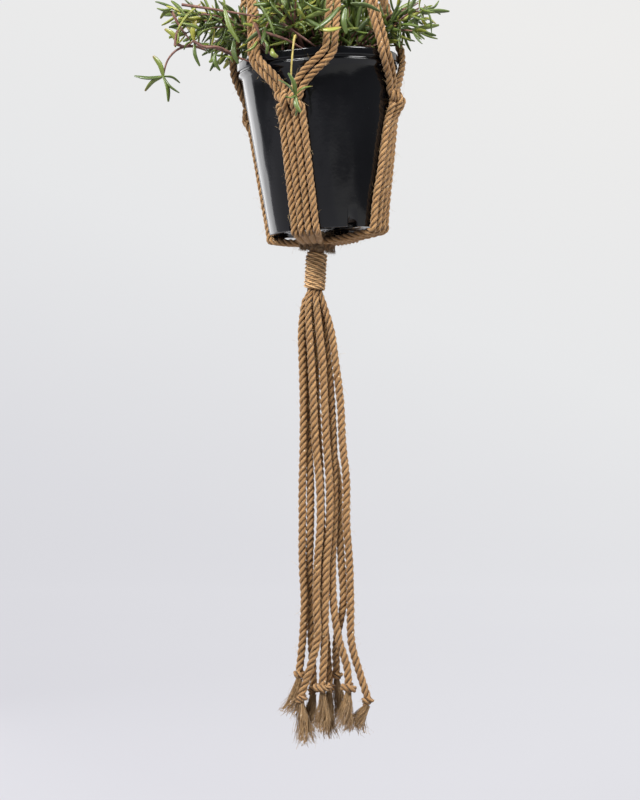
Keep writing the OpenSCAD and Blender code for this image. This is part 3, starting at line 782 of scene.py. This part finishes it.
def long_hairs(piece, name):
    """Takes a rope's stray hairs off into a piece of their own."""
    hairs = piece.copy()
    hairs.data = piece.data.copy()
    hairs.name = hairs.data.name = name
    bpy.context.scene.collection.objects.link(hairs)
    for each, kept in ((piece, 0.0), (hairs, 1.0)):
        bm = bmesh.new()
        bm.from_mesh(each.data)
        loose = bm.verts.layers.float["loose"]
        bmesh.ops.delete(bm, geom=[v for v in bm.verts if v[loose] != kept], context="VERTS")
        bm.to_mesh(each.data)
        bm.free()
    return hairs


def tassel_cord(n):
    """One strand of the tassel with its knot and frayed end, as a free cord."""
    points = [TASSEL_TOP + Vector(p) for p in STRANDS[n - 1]]
    mouth = points[0] - TASSEL_TOP
    inside = TASSEL_TOP + Vector((mouth.x * 0.55, mouth.y * 0.55, 6.0))
    end = points[-1]
    route = smooth([inside, *points, end + (end - points[-2]).normalized() * 3.0], 6)
    girth = [SQUEEZE * 0.96, SQUEEZE, 0.88, 0.97, 1, 1, 1, 1, 1, 1, 1, 0.97, 0.9]
    strand = rope_piece(f"tassel_rope_{n}", [route], [girth], diameter=SLACK_ROPE, lay=TASSEL_LAY, seed=60 + n,
                        hairs=22000.0)
    hairs = long_hairs(strand, f"tassel_hairs_{n}")
    knot = end_knot(n, end + up(-4.0))
    tail = frayed_tail(n, end + up(-8.0), TASSEL_TOP + Vector(FRAY_TIPS[n - 1]))
    for piece in (strand, hairs):
        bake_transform(piece, "bottom_wrap", "tassel", start=tuple(TASSEL_TOP * MM + up(0.004)),
                 end=tuple(TASSEL_TOP * MM - up(0.045)))
    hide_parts(f"tassel_strand_{n}", "tassel_neck")
    place_piece(knot, "tassel", "jute_rope", "end_knots")
    place_piece(tail, "tassel", "jute_fibre", "frayed_ends")


set_camera()
for n in range(1, 9):
    tassel_cord(n)


# ---------------------------------------------------------------- ring, loops and top wrapping

def loop_route(column, layer):
    """One cord over the ring's bar and down both sides into the top wrapping."""
    place = [-1.5, -0.5, 0.5, 1.5][column]
    r = 9.5 + layer * 6.2
    turn = place * 6.2 / (RING_R - r)
    x, y, foot = place * PACKED, (0.5 + layer) * PACKED, -112.0
    over = []
    for a in range(0, 181, 30):
        d = RING_R - r * math.sin(math.radians(a))
        over.append(Vector((d * math.sin(turn), -r * math.cos(math.radians(a)), RING_Z - d * math.cos(turn))))
    front, back = Vector((x, -y, foot)), Vector((x, y, foot))
    down = up(-9)
    return smooth([front + down, front + up(5), front.lerp(over[0], 0.6), *over,
                   back.lerp(over[-1], 0.6), back + up(5), back + down], 5)


def wound_cord(name, r, turns, top, lean, seed):
    """A wrapping of thin cord, its two ends tucked under the turns."""
    pitch = TWINE * 1.05
    count = int(turns * 40)
    route = []
    for i in range(count + 1):
        a = 2 * math.pi * i / 40
        tuck = max(0.0, 1 - i / 12, 1 - (count - i) / 12)
        wobble = 0.18 * noise.noise(Vector((i * 0.07, seed, 0)))
        z = -(i / 40 + 0.5 - 0.5 * i / count) * pitch * (turns - 1) / turns - pitch * 0.3 + wobble
        route.append(top + lean @ Vector(((r - 3.2 * tuck + wobble) * math.cos(a + seed),
                                          (r - 3.2 * tuck + wobble) * math.sin(a + seed), z)))
    return rope_piece(name, [route], None, twine_with_painted_light, diameter=TWINE * MM * 0.99, lay=0.034, step=0.0011,
                      sides=7, hairs=20000.0, hair_length=0.0045, seed=seed)


def turned(name, profile, finish, segments=96):
    """A closed shape turned round the Z axis from a profile that starts and ends on it."""
    bm = bmesh.new()
    rings = []
    for r, z in profile:
        if r < 1e-6:
            rings.append([bm.verts.new((0, 0, z * MM))])
        else:
            rings.append([bm.verts.new((r * MM * math.cos(2 * math.pi * i / segments),
                                        r * MM * math.sin(2 * math.pi * i / segments), z * MM))
                          for i in range(segments)])
    for a, b in zip(rings, rings[1:]):
        for i in range(segments):
            k = (i + 1) % segments
            face = [a[i % len(a)], a[k % len(a)], b[k % len(b)], b[i % len(b)]]
            bm.faces.new(list(dict.fromkeys(face)))
    bmesh.ops.recalc_face_normals(bm, faces=bm.faces)
    mesh = bpy.data.meshes.new(name)
    bm.to_mesh(mesh)
    bm.free()
    mesh.polygons.foreach_set("use_smooth", [True] * len(mesh.polygons))
    mesh.materials.append(finish)
    piece = stand(name, mesh)
    return piece


def hang_top():
    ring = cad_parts["hanging_ring"]
    ring.data.materials.clear()
    ring.data.materials.append(turned_wood())
    routes = [loop_route(column, layer) for column in range(4) for layer in range(2)]
    girths = [[0.76, 0.84, 0.86, 0.86, 0.86, 0.84, 0.76]] * 8
    loops = rope_piece("folded_loops", routes, girths, lay=LOOP_LAY, seed=3, hair_length=0.005)
    place_piece(loops, "loops", "jute_rope", "ring_loops")
    wrap = wound_cord("top_winding", 16.3, 12, up(-112.0), Matrix.Identity(3), 5)
    core = turned("top_winding_core", [(0, -113), (14.2, -113), (14.6, -114), (14.6, -161), (0, -161)], felt_finish)
    place_piece(joined(wrap, core), "loops", "wrap_cord", "top_wrap")


# ---------------------------------------------------------------- arms, net and knots

def knot_corner(k, j, z):
    outward, aside = [(-1, 0), (1, 0), (0, -1), (0, 1)][j]
    run = PITCH * 0.72
    return polar(UPPER_R[k] + outward * run, UPPER_AZ[k], z, aside * run)


def arm_route(k, j):
    half, az = PACKED / math.sqrt(2), -21 + 45 + 90 * k
    outward, aside = [(-1, 0), (1, 0), (0, -1), (0, 1)][j]
    run, knot_z = PITCH * 0.72, -RIM_DROP + UPPER_RISE
    top = polar(2 * half + outward * half, az, -162.8, aside * half)
    low = knot_corner(k, j, knot_z + 7)
    wide = polar(2 * half + 7 + outward * run, az, -182.8, aside * run)
    sag = polar(1.6, az, 0) * (0.6 + 0.3 * j)
    return smooth([top + up(9), top - up(4), wide, wide.lerp(low, 0.33) + sag,
                   wide.lerp(low, 0.66) + sag, low, low.lerp(polar(UPPER_R[k], UPPER_AZ[k], knot_z - 9), 0.5)], 6)


def wall_point(az, across, z, out=0.0):
    """A rope's middle on the pot's wall: so far across from an azimuth, at a height from the rim."""
    r = wall_r(z) + ROPE / 2 + GAP + out
    return on_pot(polar(r, az + math.degrees(across / r), z))


def lip_point(across, z):
    """A rope's middle near the rim, where the lip pushes it out. across is measured on the lip."""
    lip = LIP_R + ROPE / 2 + GAP
    r = lip if z > -9 else max(wall_r(z) + ROPE / 2 + GAP,
                               lip + (wall_r(-40) - LIP_R) * min((-9 - z) / 31, 1))
    return on_pot(polar(r, math.degrees(across / LIP_R), z))


def net_route(k, j):
    """Up from a lower knot, over the rim and on to an upper knot."""
    side, outer = (-1, j == 0) if j < 2 else (1, j == 3)
    start = math.radians(LOWER_AZ[k]) * LIP_R + side * PITCH
    goal = math.radians(RIM_AZ[k][0 if side < 0 else 1]) * LIP_R
    steps = [(-LOWER_DROP + 7, 0), (-LOWER_DROP + 14, 0.08), (-25, 0.36), (-13, 0.75), (-5, 0.95), (3, 1)]
    middle = smooth([(start + (goal - start) * f, z, 0) for z, f in steps], 3)
    shift = side * (0.5 if outer else -0.5) * (PITCH + GAP)
    points = []
    for i, p in enumerate(middle):
        run = (middle[min(i + 1, len(middle) - 1)] - middle[max(i - 1, 0)]).normalized()
        points.append(lip_point(p.x + shift * run.y, p.y - shift * run.x))
    u = (k + 3) % 4 if side < 0 else k
    meet = polar(UPPER_R[u] - side * 0.62 * PITCH, UPPER_AZ[u], -RIM_DROP + UPPER_RISE - 10,
                 side * (0.5 if outer else -0.5) * PITCH)
    rise = [points[-1].lerp(meet, f) for f in (0.12, 0.35, 0.6, 0.85, 1.0)]
    return points + rise + [meet + up(6)]


def knot_route(k, j):
    """Through the lower knot: the two middle ropes lie in front, the outer two pinch in behind."""
    s = -1 if j < 2 else 1
    if j in (0, 3):
        steps = [(11.2, -63, 0.2), (11.9, -58.5, 1.8), (11.2, -54.6, 3.0), (7.2, -51.6, 1.6), (3.4, -50.2, -0.2),
                 (7.4, -48.4, 1.6), (11.3, -45.4, 3.0), (11.7, -42.2, 2.2)]
    else:
        steps = [(3.7, -66, 0.2), (4.4, -59, 3.0), (4.6, -54.5, 6.0), (4.0, -50, 8.2), (4.2, -45.5, 6.2),
                 (3.9, -41.5, 3.0)]
    return [wall_point(LOWER_AZ[k], s * across, z, out) for across, z, out in steps]


def cradle_route(k, j):
    """From the gather out under the base, round its edge and up the wall to the knot."""
    aside = (j - 1.5) * PITCH
    down = []
    for z, f in ((-72, 0.15), (-86, 0.3), (-118, 0.6), (-POT_H + 26, 0.9), (-POT_H + 6, 1.0)):
        down.append(wall_point(LOWER_AZ[k] + (BASE_AZ[k] - LOWER_AZ[k]) * f, aside, z))
    reach = ROPE / 2 + 2 * GAP
    edge = []
    for a in (30, 65, 90):
        r, z = BASE_R + reach * math.cos(math.radians(a)), -POT_H - reach * math.sin(math.radians(a))
        edge.append(on_pot(polar(r, BASE_AZ[k] + math.degrees(aside / BASE_R), z)))
    mouth = polar(13.3, BASE_AZ[k], GATHER_TOP - 5.2, (j - 1.5) * PACKED)
    under = [edge[-1].lerp(mouth, f) - up(0.8) for f in (0.45, 0.85)]
    if j in (1, 2):
        tuck = [polar(8.4, BASE_AZ[k], GATHER_TOP - 8.5, (j - 1.5) * 4.6),
                polar(5.0, BASE_AZ[k], GATHER_TOP - 13, (j - 1.5) * 4.0)]
    else:
        tuck = [polar(11.4, BASE_AZ[k], GATHER_TOP - 8.8, (j - 1.5) * 4.9),
                polar(12.4, BASE_AZ[k], GATHER_TOP - 12.5, (j - 1.5) * 4.4)]
    return list(reversed(down + edge + under + [mouth] + tuck))


def net_bundle(k):
    """Four ropes from the gather to the upper knots, with the lower knot tied in them."""
    routes, girths = [], []
    for j in range(4):
        low, tie, high = cradle_route(k, j), knot_route(k, j), net_route(k, j)
        points = smooth(low + tie, 6) + smooth([tie[-1]] + high[2:], 3)[1:]
        routes.append(points)
        girths.append([0.78, 0.86] + [1.0] * 28)
    piece = rope_piece(f"net_ropes_{k + 1}", routes, girths, lay=NET_LAY, seed=10 + k)
    place_piece(piece, "hanger", "jute_rope", f"net_pair_{2 * k + 1}", f"net_pair_{2 * k + 2}",
                f"lower_knot_{k + 1}", f"cradle_cords_{k + 1}")


def upper_knot(k):
    """Two turns of rope drawn tight round the four that pass through."""
    middle = polar(UPPER_R[k], UPPER_AZ[k], -RIM_DROP + UPPER_RISE)
    tilt = Matrix.Rotation(0.22, 3, "X") @ Matrix.Rotation(0.15 * (k - 1.5), 3, "Y")
    route = []
    for i in range(81):
        a, f = 2 * math.pi * i / 34 + k, i / 80
        r = 9.0 - 4.5 * max(0.0, 1 - f * 9, 1 - (1 - f) * 9) + 0.5 * math.sin(3 * a)
        route.append(middle + tilt @ Vector((r * math.cos(a), r * math.sin(a), 8.2 - 16.4 * f)))
    return rope_piece(f"upper_knot_turns_{k + 1}", [route], [[0.9, 1.0, 1.0, 0.9]], lay=NET_LAY, seed=30 + k)


def hang_net():
    for k in range(4):
        arm = rope_piece(f"arm_ropes_{k + 1}", [arm_route(k, j) for j in range(4)],
                         [[SQUEEZE, SQUEEZE, 0.94, 1, 1, 1, 1]] * 4, lay=NET_LAY, seed=20 + k)
        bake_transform(arm, "loops", "hanger", start=(0, 0, -0.156), end=(0, 0, -0.215))
        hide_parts(f"arm_cords_{k + 1}")
        place_piece(upper_knot(k), "hanger", "jute_rope", f"upper_knot_{k + 1}")
        net_bundle(k)


# ---------------------------------------------------------------- gather and bottom wrapping

def lump(name, middle, size, rough, seed):
    """A rough closed lump."""
    bm = bmesh.new()
    bmesh.ops.create_icosphere(bm, subdivisions=4, radius=1.0)
    for v in bm.verts:
        k = 1 + rough * noise.noise(v.co * 2.6 + Vector((seed, 0, 0))) + rough * 0.5 * noise.noise(v.co * 7)
        v.co = (middle + Vector((v.co.x * size[0], v.co.y * size[1], v.co.z * size[2])) * k) * MM
    mesh = bpy.data.meshes.new(name)
    bm.to_mesh(mesh)
    bm.free()
    mesh.attributes.new("girth", "FLOAT", "POINT")
    return mesh


def stub_route(az, low, turn):
    """A trimmed end that hugs the lump and points out of it."""
    return smooth([polar(8, az, GATHER_TOP - 1), polar(12.5, az + turn * 0.25, GATHER_TOP + 1.5),
                   polar(15.0, az + turn * 0.6, GATHER_TOP - 2.5), polar(15.2, az + turn, GATHER_TOP - low)], 6)


def tie_gather():
    stubs = [stub_route(az, low, turn) for az, low, turn in (
        (-38, 9.5, 26), (-6, 11.5, 24), (34, 10.5, -22), (48, 13.5, 16), (85, 12.5, 14), (122, 11.0, 20),
        (160, 10.0, 24), (205, 11.0, -20), (262, 10.0, 24), (300, 11.5, 14))]
    ends = rope_piece("trimmed_ends", stubs, [[0.75, 0.9, 0.95, 0.85]] * len(stubs), felt_finish, lay=0.02,
                      seed=70, hairs=90000.0, hair_length=0.006)
    middle = up(GATHER_TOP - 5.0)
    mat = grow("matted_middle", crumbs, lump("matted_middle", middle, (13.5, 13.5, 7.6), 0.25, 3),
               density=20000.0, crumb=0.0012, material=felt_finish)
    fuzz = []
    for stub in stubs:
        out = (stub[-1] - stub[-4]).normalized()
        fuzz.append([stub[-1] - out * 1.5, stub[-1] + out * 1.5, stub[-1] + out * 4.0])
    fluff = grow("trimmed_fluff", frayed_end, routes_mesh("fluff", fuzz), fibres=70, start_width=0.0024,
                 spread=0.0026, thickness=0.00016, wave=0.004, seed=8, material=felt_finish)
    place_piece(joined(ends, mat, fluff), "hanger", "jute_fibre", "gather_knot")


def tie_bottom():
    wrap = wound_cord("bottom_winding", 9.0, 10, WRAP_TOP + WRAP_LEAN @ up(-4.5), WRAP_LEAN, 2)
    core = turned("bottom_winding_core", [(0, 1.0), (5.5, 0.5), (7.2, -3), (7.4, -6), (7.4, -43), (0, -43)],
                  felt_finish, 32)
    core.data.transform(Matrix.Translation(WRAP_TOP * MM) @ WRAP_LEAN.to_4x4())
    place_piece(joined(wrap, core), "bottom_wrap", "wrap_cord", "bottom_wrap", "wrap_neck")


# ---------------------------------------------------------------- pot, soil and plant

def arc(centre, r, start, end, steps=6):
    return [(centre[0] + r * math.cos(math.radians(start + (end - start) * i / steps)),
             centre[1] + r * math.sin(math.radians(start + (end - start) * i / steps))) for i in range(steps + 1)]


def mould_pot():
    """The pot: rolled rim, second bead, tapered wall, recessed base and drain notches."""
    profile = [(0, -POT_H + 3), (BASE_R - 12.5, -POT_H + 3), (BASE_R - 11, -POT_H + 2), (BASE_R - 10, -POT_H + 0.3),
               (BASE_R - 9.4, -POT_H)]
    profile += arc((BASE_R - 1.6, -POT_H + 1.6), 1.6, -90, -6)
    profile += [(wall_r(z), z) for z in (-150, -120, -90, -60, -30, -17.5)]
    profile += [(wall_r(-16) + 0.3, -16.0), (WALL_R + 0.9, -14.2)]
    profile += arc((WALL_R + 0.2, -12.2), 1.15, -35, 65, 5)
    profile += [(WALL_R + 0.2, -10.5), (WALL_R + 0.1, -8.9)]
    profile += arc((LIP_R - 1.5, -7.2), 1.5, -110, 0, 5)
    profile += [(LIP_R, -5.0), (LIP_R, -2.6)]
    profile += arc((LIP_R - 2.2, -2.2), 2.2, 8, 90, 6)
    profile += arc((WALL_R - 0.5, -1.2), 1.2, 90, 178, 4)
    profile += [(WALL_R - 1.5, -4.0), (wall_r(-30) - 1.4, -30), (BASE_R - 1.6, -POT_H + 4.4), (0, -POT_H + 4.4)]
    pot = turned("moulded_pot", profile, plastic_finish, 160)
    for i in range(DRAINS):
        bpy.ops.mesh.primitive_cylinder_add(vertices=28, radius=DRAIN_R * MM, depth=20 * MM)
        cutter = bpy.context.object
        turn = Matrix.Rotation(math.radians(25 + 360 / DRAINS * i), 4, "Z")
        cutter.data.transform(turn @ Matrix.Translation(Vector((0, -BASE_R + 4, -POT_H + 2)) * MM)
                              @ Matrix.Rotation(math.pi / 2, 4, "X"))
        cut = pot.modifiers.new("notch", "BOOLEAN")
        cut.operation, cut.object, cut.solver = "DIFFERENCE", cutter, "EXACT"
        graph = bpy.context.evaluated_depsgraph_get()
        mesh = bpy.data.meshes.new_from_object(pot.evaluated_get(graph), depsgraph=graph)
        pot.modifiers.clear()
        pot.data = mesh
        bpy.data.objects.remove(cutter)
    pot.data.transform(HUNG_POT)
    place_piece(pot, "hanger", "pot_plastic", "nursery_pot")


def fill_soil():
    """Potting mix with crumbs on top."""
    inside = WALL_R - 3.6
    profile = [(0, -POT_H + 5.2), (BASE_R - 3, -POT_H + 5.2), (inside, -17.5), (inside - 3, -15.6), (30, -13),
            (0, -12)]
    bed = turned("bed", profile, plastic_finish, 64)
    for v in bed.data.vertices:
        if v.co.z > -0.02:
            v.co.z += 0.0016 * noise.noise(v.co * 90)
    bed.data.transform(HUNG_POT)
    mesh = bed.data
    bpy.data.objects.remove(bed)
    mesh.materials.clear()
    mesh.attributes.new("girth", "FLOAT", "POINT")
    soil = grow("potting_mix", crumbs, mesh, density=9000.0, crumb=0.0026, material=damp_soil())
    place_piece(soil, "hanger", "soil", "potting_soil")


def stem_route(rng, root, tip, rise):
    """A stem that comes up from the soil, arches and reaches its tip."""
    knee = root.lerp(tip, 0.35) + Vector((rng.uniform(-6, 6), rng.uniform(-6, 6), rise))
    near = root.lerp(tip, 0.72) + Vector((rng.uniform(-5, 5), rng.uniform(-5, 5), rise * 0.85))
    return smooth([root, knee, near, tip], 6)


def above_rim(az, r, z):
    return polar(r, az, z - RIM_DROP)


def leafy(name, routes, node, **settings):
    """Leafy stems along the routes, riding with the pot."""
    piece = grow(name, leafy_stem, routes_mesh("stems", routes), leaf_material=leaf_finish,
                 stem_material=stem_finish, **settings)
    place_piece(piece, "hanger", "leaves", node)


def grow_crown():
    """The mound of stems and leaves inside the net, with bare woody stems low down."""
    rng = random.Random(11)
    for part in range(3):
        stems = []
        for i in range(24):
            az, f = rng.uniform(0, 360), math.sqrt(rng.random())
            height = 16 + 96 * (1 - f) * rng.uniform(0.45, 1.0) + rng.uniform(0, 14)
            reach = min(70, 66 * f ** 0.9) * (0.75 + 0.25 * math.cos(height / 90))
            root = above_rim(az + rng.uniform(-50, 50), rng.uniform(4, 52), -14)
            stems.append(stem_route(rng, root, above_rim(az, reach, height), rng.uniform(3, 12)))
        leafy(f"crown_stems_{part + 1}", stems, "plant_crown", leaf=0.026, stem=0.0013, whorl_step=0.0115,
              leaves_per_whorl=3, bare=0.32, open=1.1, seed=part + 1)
    wood = []
    for i in range(46):
        az = rng.uniform(0, 360)
        root = above_rim(az, rng.uniform(30, 66), -14)
        tip = above_rim(az + rng.uniform(-40, 40), 70, rng.uniform(4, 34))
        wood.append(smooth([root, root.lerp(tip, 0.5) + Vector((0, 0, rng.uniform(4, 10))), tip], 6))
    leafy("bare_stems", wood, "plant_crown", leaf=0.012, stem=0.0012, whorl_step=0.02, leaves_per_whorl=1,
          bare=0.8, seed=9)


def grow_lobe(n, az, width, low, high, reach, count):
    """Stems that push out between the ropes of the net."""
    rng = random.Random(50 + n)
    stems = []
    for i in range(count):
        a = az + rng.uniform(-width, width)
        r = rng.uniform(reach * 0.78, reach)
        root = above_rim(az + rng.uniform(-18, 18), rng.uniform(18, 55), -14)
        over = above_rim(az + (a - az) * 0.35, LIP_R * 0.86, rng.uniform(14, 34))
        tip = above_rim(a, r, rng.uniform(low, high))
        near = over.lerp(tip, 0.55) + Vector((0, 0, rng.uniform(2, 9)))
        stems.append(smooth([root, over, near, tip], 6))
    leafy(f"lobe_stems_{n}", stems, f"leaf_lobe_{n}", leaf=0.0235, stem=0.0012, whorl_step=0.0125,
          leaves_per_whorl=3, bare=0.42, open=1.1, seed=80 + n)


def bowed(base, tip, bow, n):
    """A leaf's middle line, bowed to one side."""
    base, tip = Vector(base), Vector(tip)
    aside = (tip - base).cross(Vector((0, 1, 0))).normalized() * bow * (1 if n % 2 else -1)
    return smooth([base, base.lerp(tip, 0.5) + aside + Vector((0, -2.0, 0)), tip], 5)


def leaves_by_hand(name, leaves, node, width=0.0052, seed=1, bow=2.2):
    routes = [bowed(base, tip, bow, n) for n, (base, tip) in enumerate(leaves)]
    piece = grow(name, single_leaves, routes_mesh(name, routes), width=width, seed=seed, material=leaf_finish)
    place_piece(piece, "hanger", "leaves", node)


def bare_stems(name, stems, node, thickness=0.0011, finish=None):
    piece = grow(name, leafy_stem, routes_mesh(name, [smooth(p, 6) for p in stems]), leaf=0.01, stem=thickness,
                 whorl_step=0.02, leaves_per_whorl=1, bare=1.1, seed=4, leaf_material=leaf_finish,
                 stem_material=finish or stem_finish)
    place_piece(piece, "hanger", "leaves", node)


LEFT_LEAVES = [
    ((-137, -40, -459), (-149, -40, -446)), ((-141, -46, -427), (-156, -46, -427)),
    ((-142, -42, -429), (-153, -42, -436)), ((-136, -50, -449), (-113, -50, -423)),
    ((-138, -48, -465), (-136, -48, -449)), ((-120, -46, -459), (-105, -46, -471)),
    ((-119, -50, -461), (-114, -50, -484)), ((-120, -44, -458), (-118, -44, -438)),
    ((-121, -40, -457), (-127, -40, -444)), ((-118, -52, -459), (-102, -52, -447)),
    ((-121, -44, -459), (-130, -44, -467)), ((-100, -52, -472), (-104, -52, -489)),
    ((-99, -54, -473), (-94, -54, -489)), ((-100, -50, -472), (-105, -50, -480)),
    ((-99, -56, -473), (-91, -56, -473)), ((-89, -58, -476), (-81, -58, -482))]
FRONT_LEAVES = [
    ((-88, -84, -436), (-74, -88, -468)), ((-58, -98, -429), (-40, -102, -463)),
    ((-46, -98, -427), (-31, -101, -446)), ((-57, -92, -468), (-68, -94, -478)),
    ((-79, -84, -466), (-75, -86, -488)), ((-19, -98, -431), (-16, -101, -449)),
    ((-12, -98, -431), (10, -101, -441)), ((21, -100, -437), (-2, -101, -458)),
    ((2, -100, -457), (23, -101, -456)), ((32, -98, -433), (60, -100, -441)), ((27, -99, -438), (28, -101, -462)),
    ((-18, -98, -451), (-11, -98, -462)), ((-43, -92, -475), (-37, -94, -483)),
    ((-50, -92, -466), (-48, -94, -480))]
RIGHT_LEAVES = [
    ((98, -20, -423), (102, -20, -452)), ((106, -26, -419), (113, -26, -447)),
    ((105, -16, -426), (109, -16, -439)), ((108, -22, -425), (122, -22, -428)),
    ((109, -30, -425), (120, -30, -416)), ((102, -12, -430), (118, -12, -435)), ((92, -10, -421), (95, -10, -435)),
    ((74, -30, -437), (81, -30, -446)), ((71, -34, -436), (86, -34, -434))]
LEFT_STEMS = [
    [(-142, -44, -429), (-134, -44, -444), (-125, -44, -456)],
    [(-131, -60, -426), (-104, -60, -430), (-55, -60, -438)],
    [(-136, -46, -462), (-128, -46, -464), (-120, -46, -458)],
    [(-108, -56, -467), (-94, -56, -467), (-72, -50, -478)],
    [(-120, -52, -460), (-111, -52, -465), (-100, -52, -466), (-86, -52, -472), (-66, -48, -479)],
    [(-138, -50, -464), (-136, -50, -450), (-127, -50, -435)]]
FRONT_STEMS = [
    [(-59, -86, -449), (-52, -82, -466), (-44, -74, -478)], [(-52, -84, -457), (-30, -84, -464), (-12, -78, -473)],
    [(-35, -80, -447), (-16, -80, -460), (3, -72, -472)]]
RIGHT_STEMS = [
    [(60, -24, -440), (79, -24, -428), (90, -24, -423), (100, -24, -417)],
    [(66, -20, -432), (83, -20, -426), (98, -20, -425), (108, -20, -419)]]


def hang_sprigs():
    """The single stems and leaves that hang past the rim, each in its own place."""
    leaves_by_hand("left_leaves", LEFT_LEAVES, "leaf_lobe_5", 0.0046, 3)
    leaves_by_hand("front_leaves", FRONT_LEAVES, "leaf_lobe_1", 0.0056, 6)
    leaves_by_hand("right_leaves", RIGHT_LEAVES, "leaf_lobe_2", 0.0044, 8)
    bare_stems("left_stems", LEFT_STEMS, "leaf_lobe_5", 0.0012)
    bare_stems("front_stems", FRONT_STEMS, "leaf_lobe_1", 0.0012)
    bare_stems("right_stems", RIGHT_STEMS, "leaf_lobe_2")
    heart = (-150, -45, -493)
    tips = [(-160, -44, -473), (-178, -47, -493), (-168, -43, -507), (-145, -46, -518), (-134, -50, -510),
            (-134, -42, -499)]
    leaves_by_hand("left_rosette", [(heart, tip) for tip in tips], "trailing_stem_left", 0.0052, 12)
    bare_stems("left_arch", [[(-108, -38, -466), (-122, -42, -463), (-136, -46, -467), (-146, -46, -478),
                              (-150, -45, -493)]], "trailing_stem_left", 0.0012)
    heart = (-20, -111, -522)
    tips = [(-36, -114, -508), (-4, -114, -514), (-27, -116, -502), (-20, -113, -542), (-15, -116, -539),
            (-30, -118, -524)]
    leaves_by_hand("front_rosette", [(heart, tip) for tip in tips], "trailing_stem_front", 0.0042, 15)
    bare_stems("front_hanger", [[(-20, -84, -462), (-21, -106, -466), (-23, -113, -484), (-24, -112, -506),
                                 (-20, -111, -522)]], "trailing_stem_front", 0.001, green_stem)


def plant_all():
    grow_crown()
    grow_lobe(1, -20, 13, 14, 54, 104, 8)
    grow_lobe(2, 71, 12, 20, 56, 112, 8)
    grow_lobe(3, 160, 14, 10, 54, 122, 10)
    grow_lobe(4, 241, 12, 14, 52, 120, 9)
    grow_lobe(5, 287, 12, 20, 54, 138, 9)
    hang_sprigs()


# ---------------------------------------------------------------- studio

def sweep():
    """A floor that curves up into a far wall."""
    line = [(-9.0, -1.4), (4.0, -1.4)]
    line += [(4.0 + 3.0 * math.sin(math.radians(a)), 1.6 - 3.0 * math.cos(math.radians(a))) for a in range(5, 91, 5)]
    line += [(7.0, 6.0)]
    mesh = bpy.data.meshes.new("studio_sweep")
    points = [(x, y, z) for y, z in line for x in (-11.0, 11.0)]
    mesh.from_pydata(points, [], [(2 * i, 2 * i + 1, 2 * i + 3, 2 * i + 2) for i in range(len(line) - 1)])
    mesh.polygons.foreach_set("use_smooth", [True] * len(mesh.polygons))
    mesh.materials.append(studio_paper())
    floor = stand("studio_sweep", mesh)


def lamp(name, place, aim, size, power, tall=None):
    data = bpy.data.lights.new(name, "AREA")
    data.energy, data.size = power, size
    if tall:
        data.shape, data.size_y = "RECTANGLE", tall
    light = stand(name, data)
    light.location = place
    light.rotation_euler = (Vector(aim) - Vector(place)).to_track_quat("-Z", "Y").to_euler()


def light_studio():
    lamp("key", (-1.1, -1.5, 1.1), (0, 0, -0.6), 1.0, 132)
    lamp("side_bank", (-1.2, 1.3, -0.5), (0, 0, -0.6), 1.15, 19, 2.2)
    lamp("right_bank", (1.6, -0.8, 1.0), (0, 0, -0.6), 0.9, 70, 1.2)
    world = bpy.data.worlds.new("studio")
    world.use_nodes = True
    world.node_tree.nodes["Background"].inputs[0].default_value = (0.92, 0.95, 1.0, 1.0)
    world.node_tree.nodes["Background"].inputs[1].default_value = 0.15
    bpy.context.scene.world = world
    bpy.context.scene.view_settings.view_transform = "Standard"


hang_top()
hang_net()
tie_gather()
tie_bottom()
mould_pot()
fill_soil()
plant_all()
sweep()
light_studio()
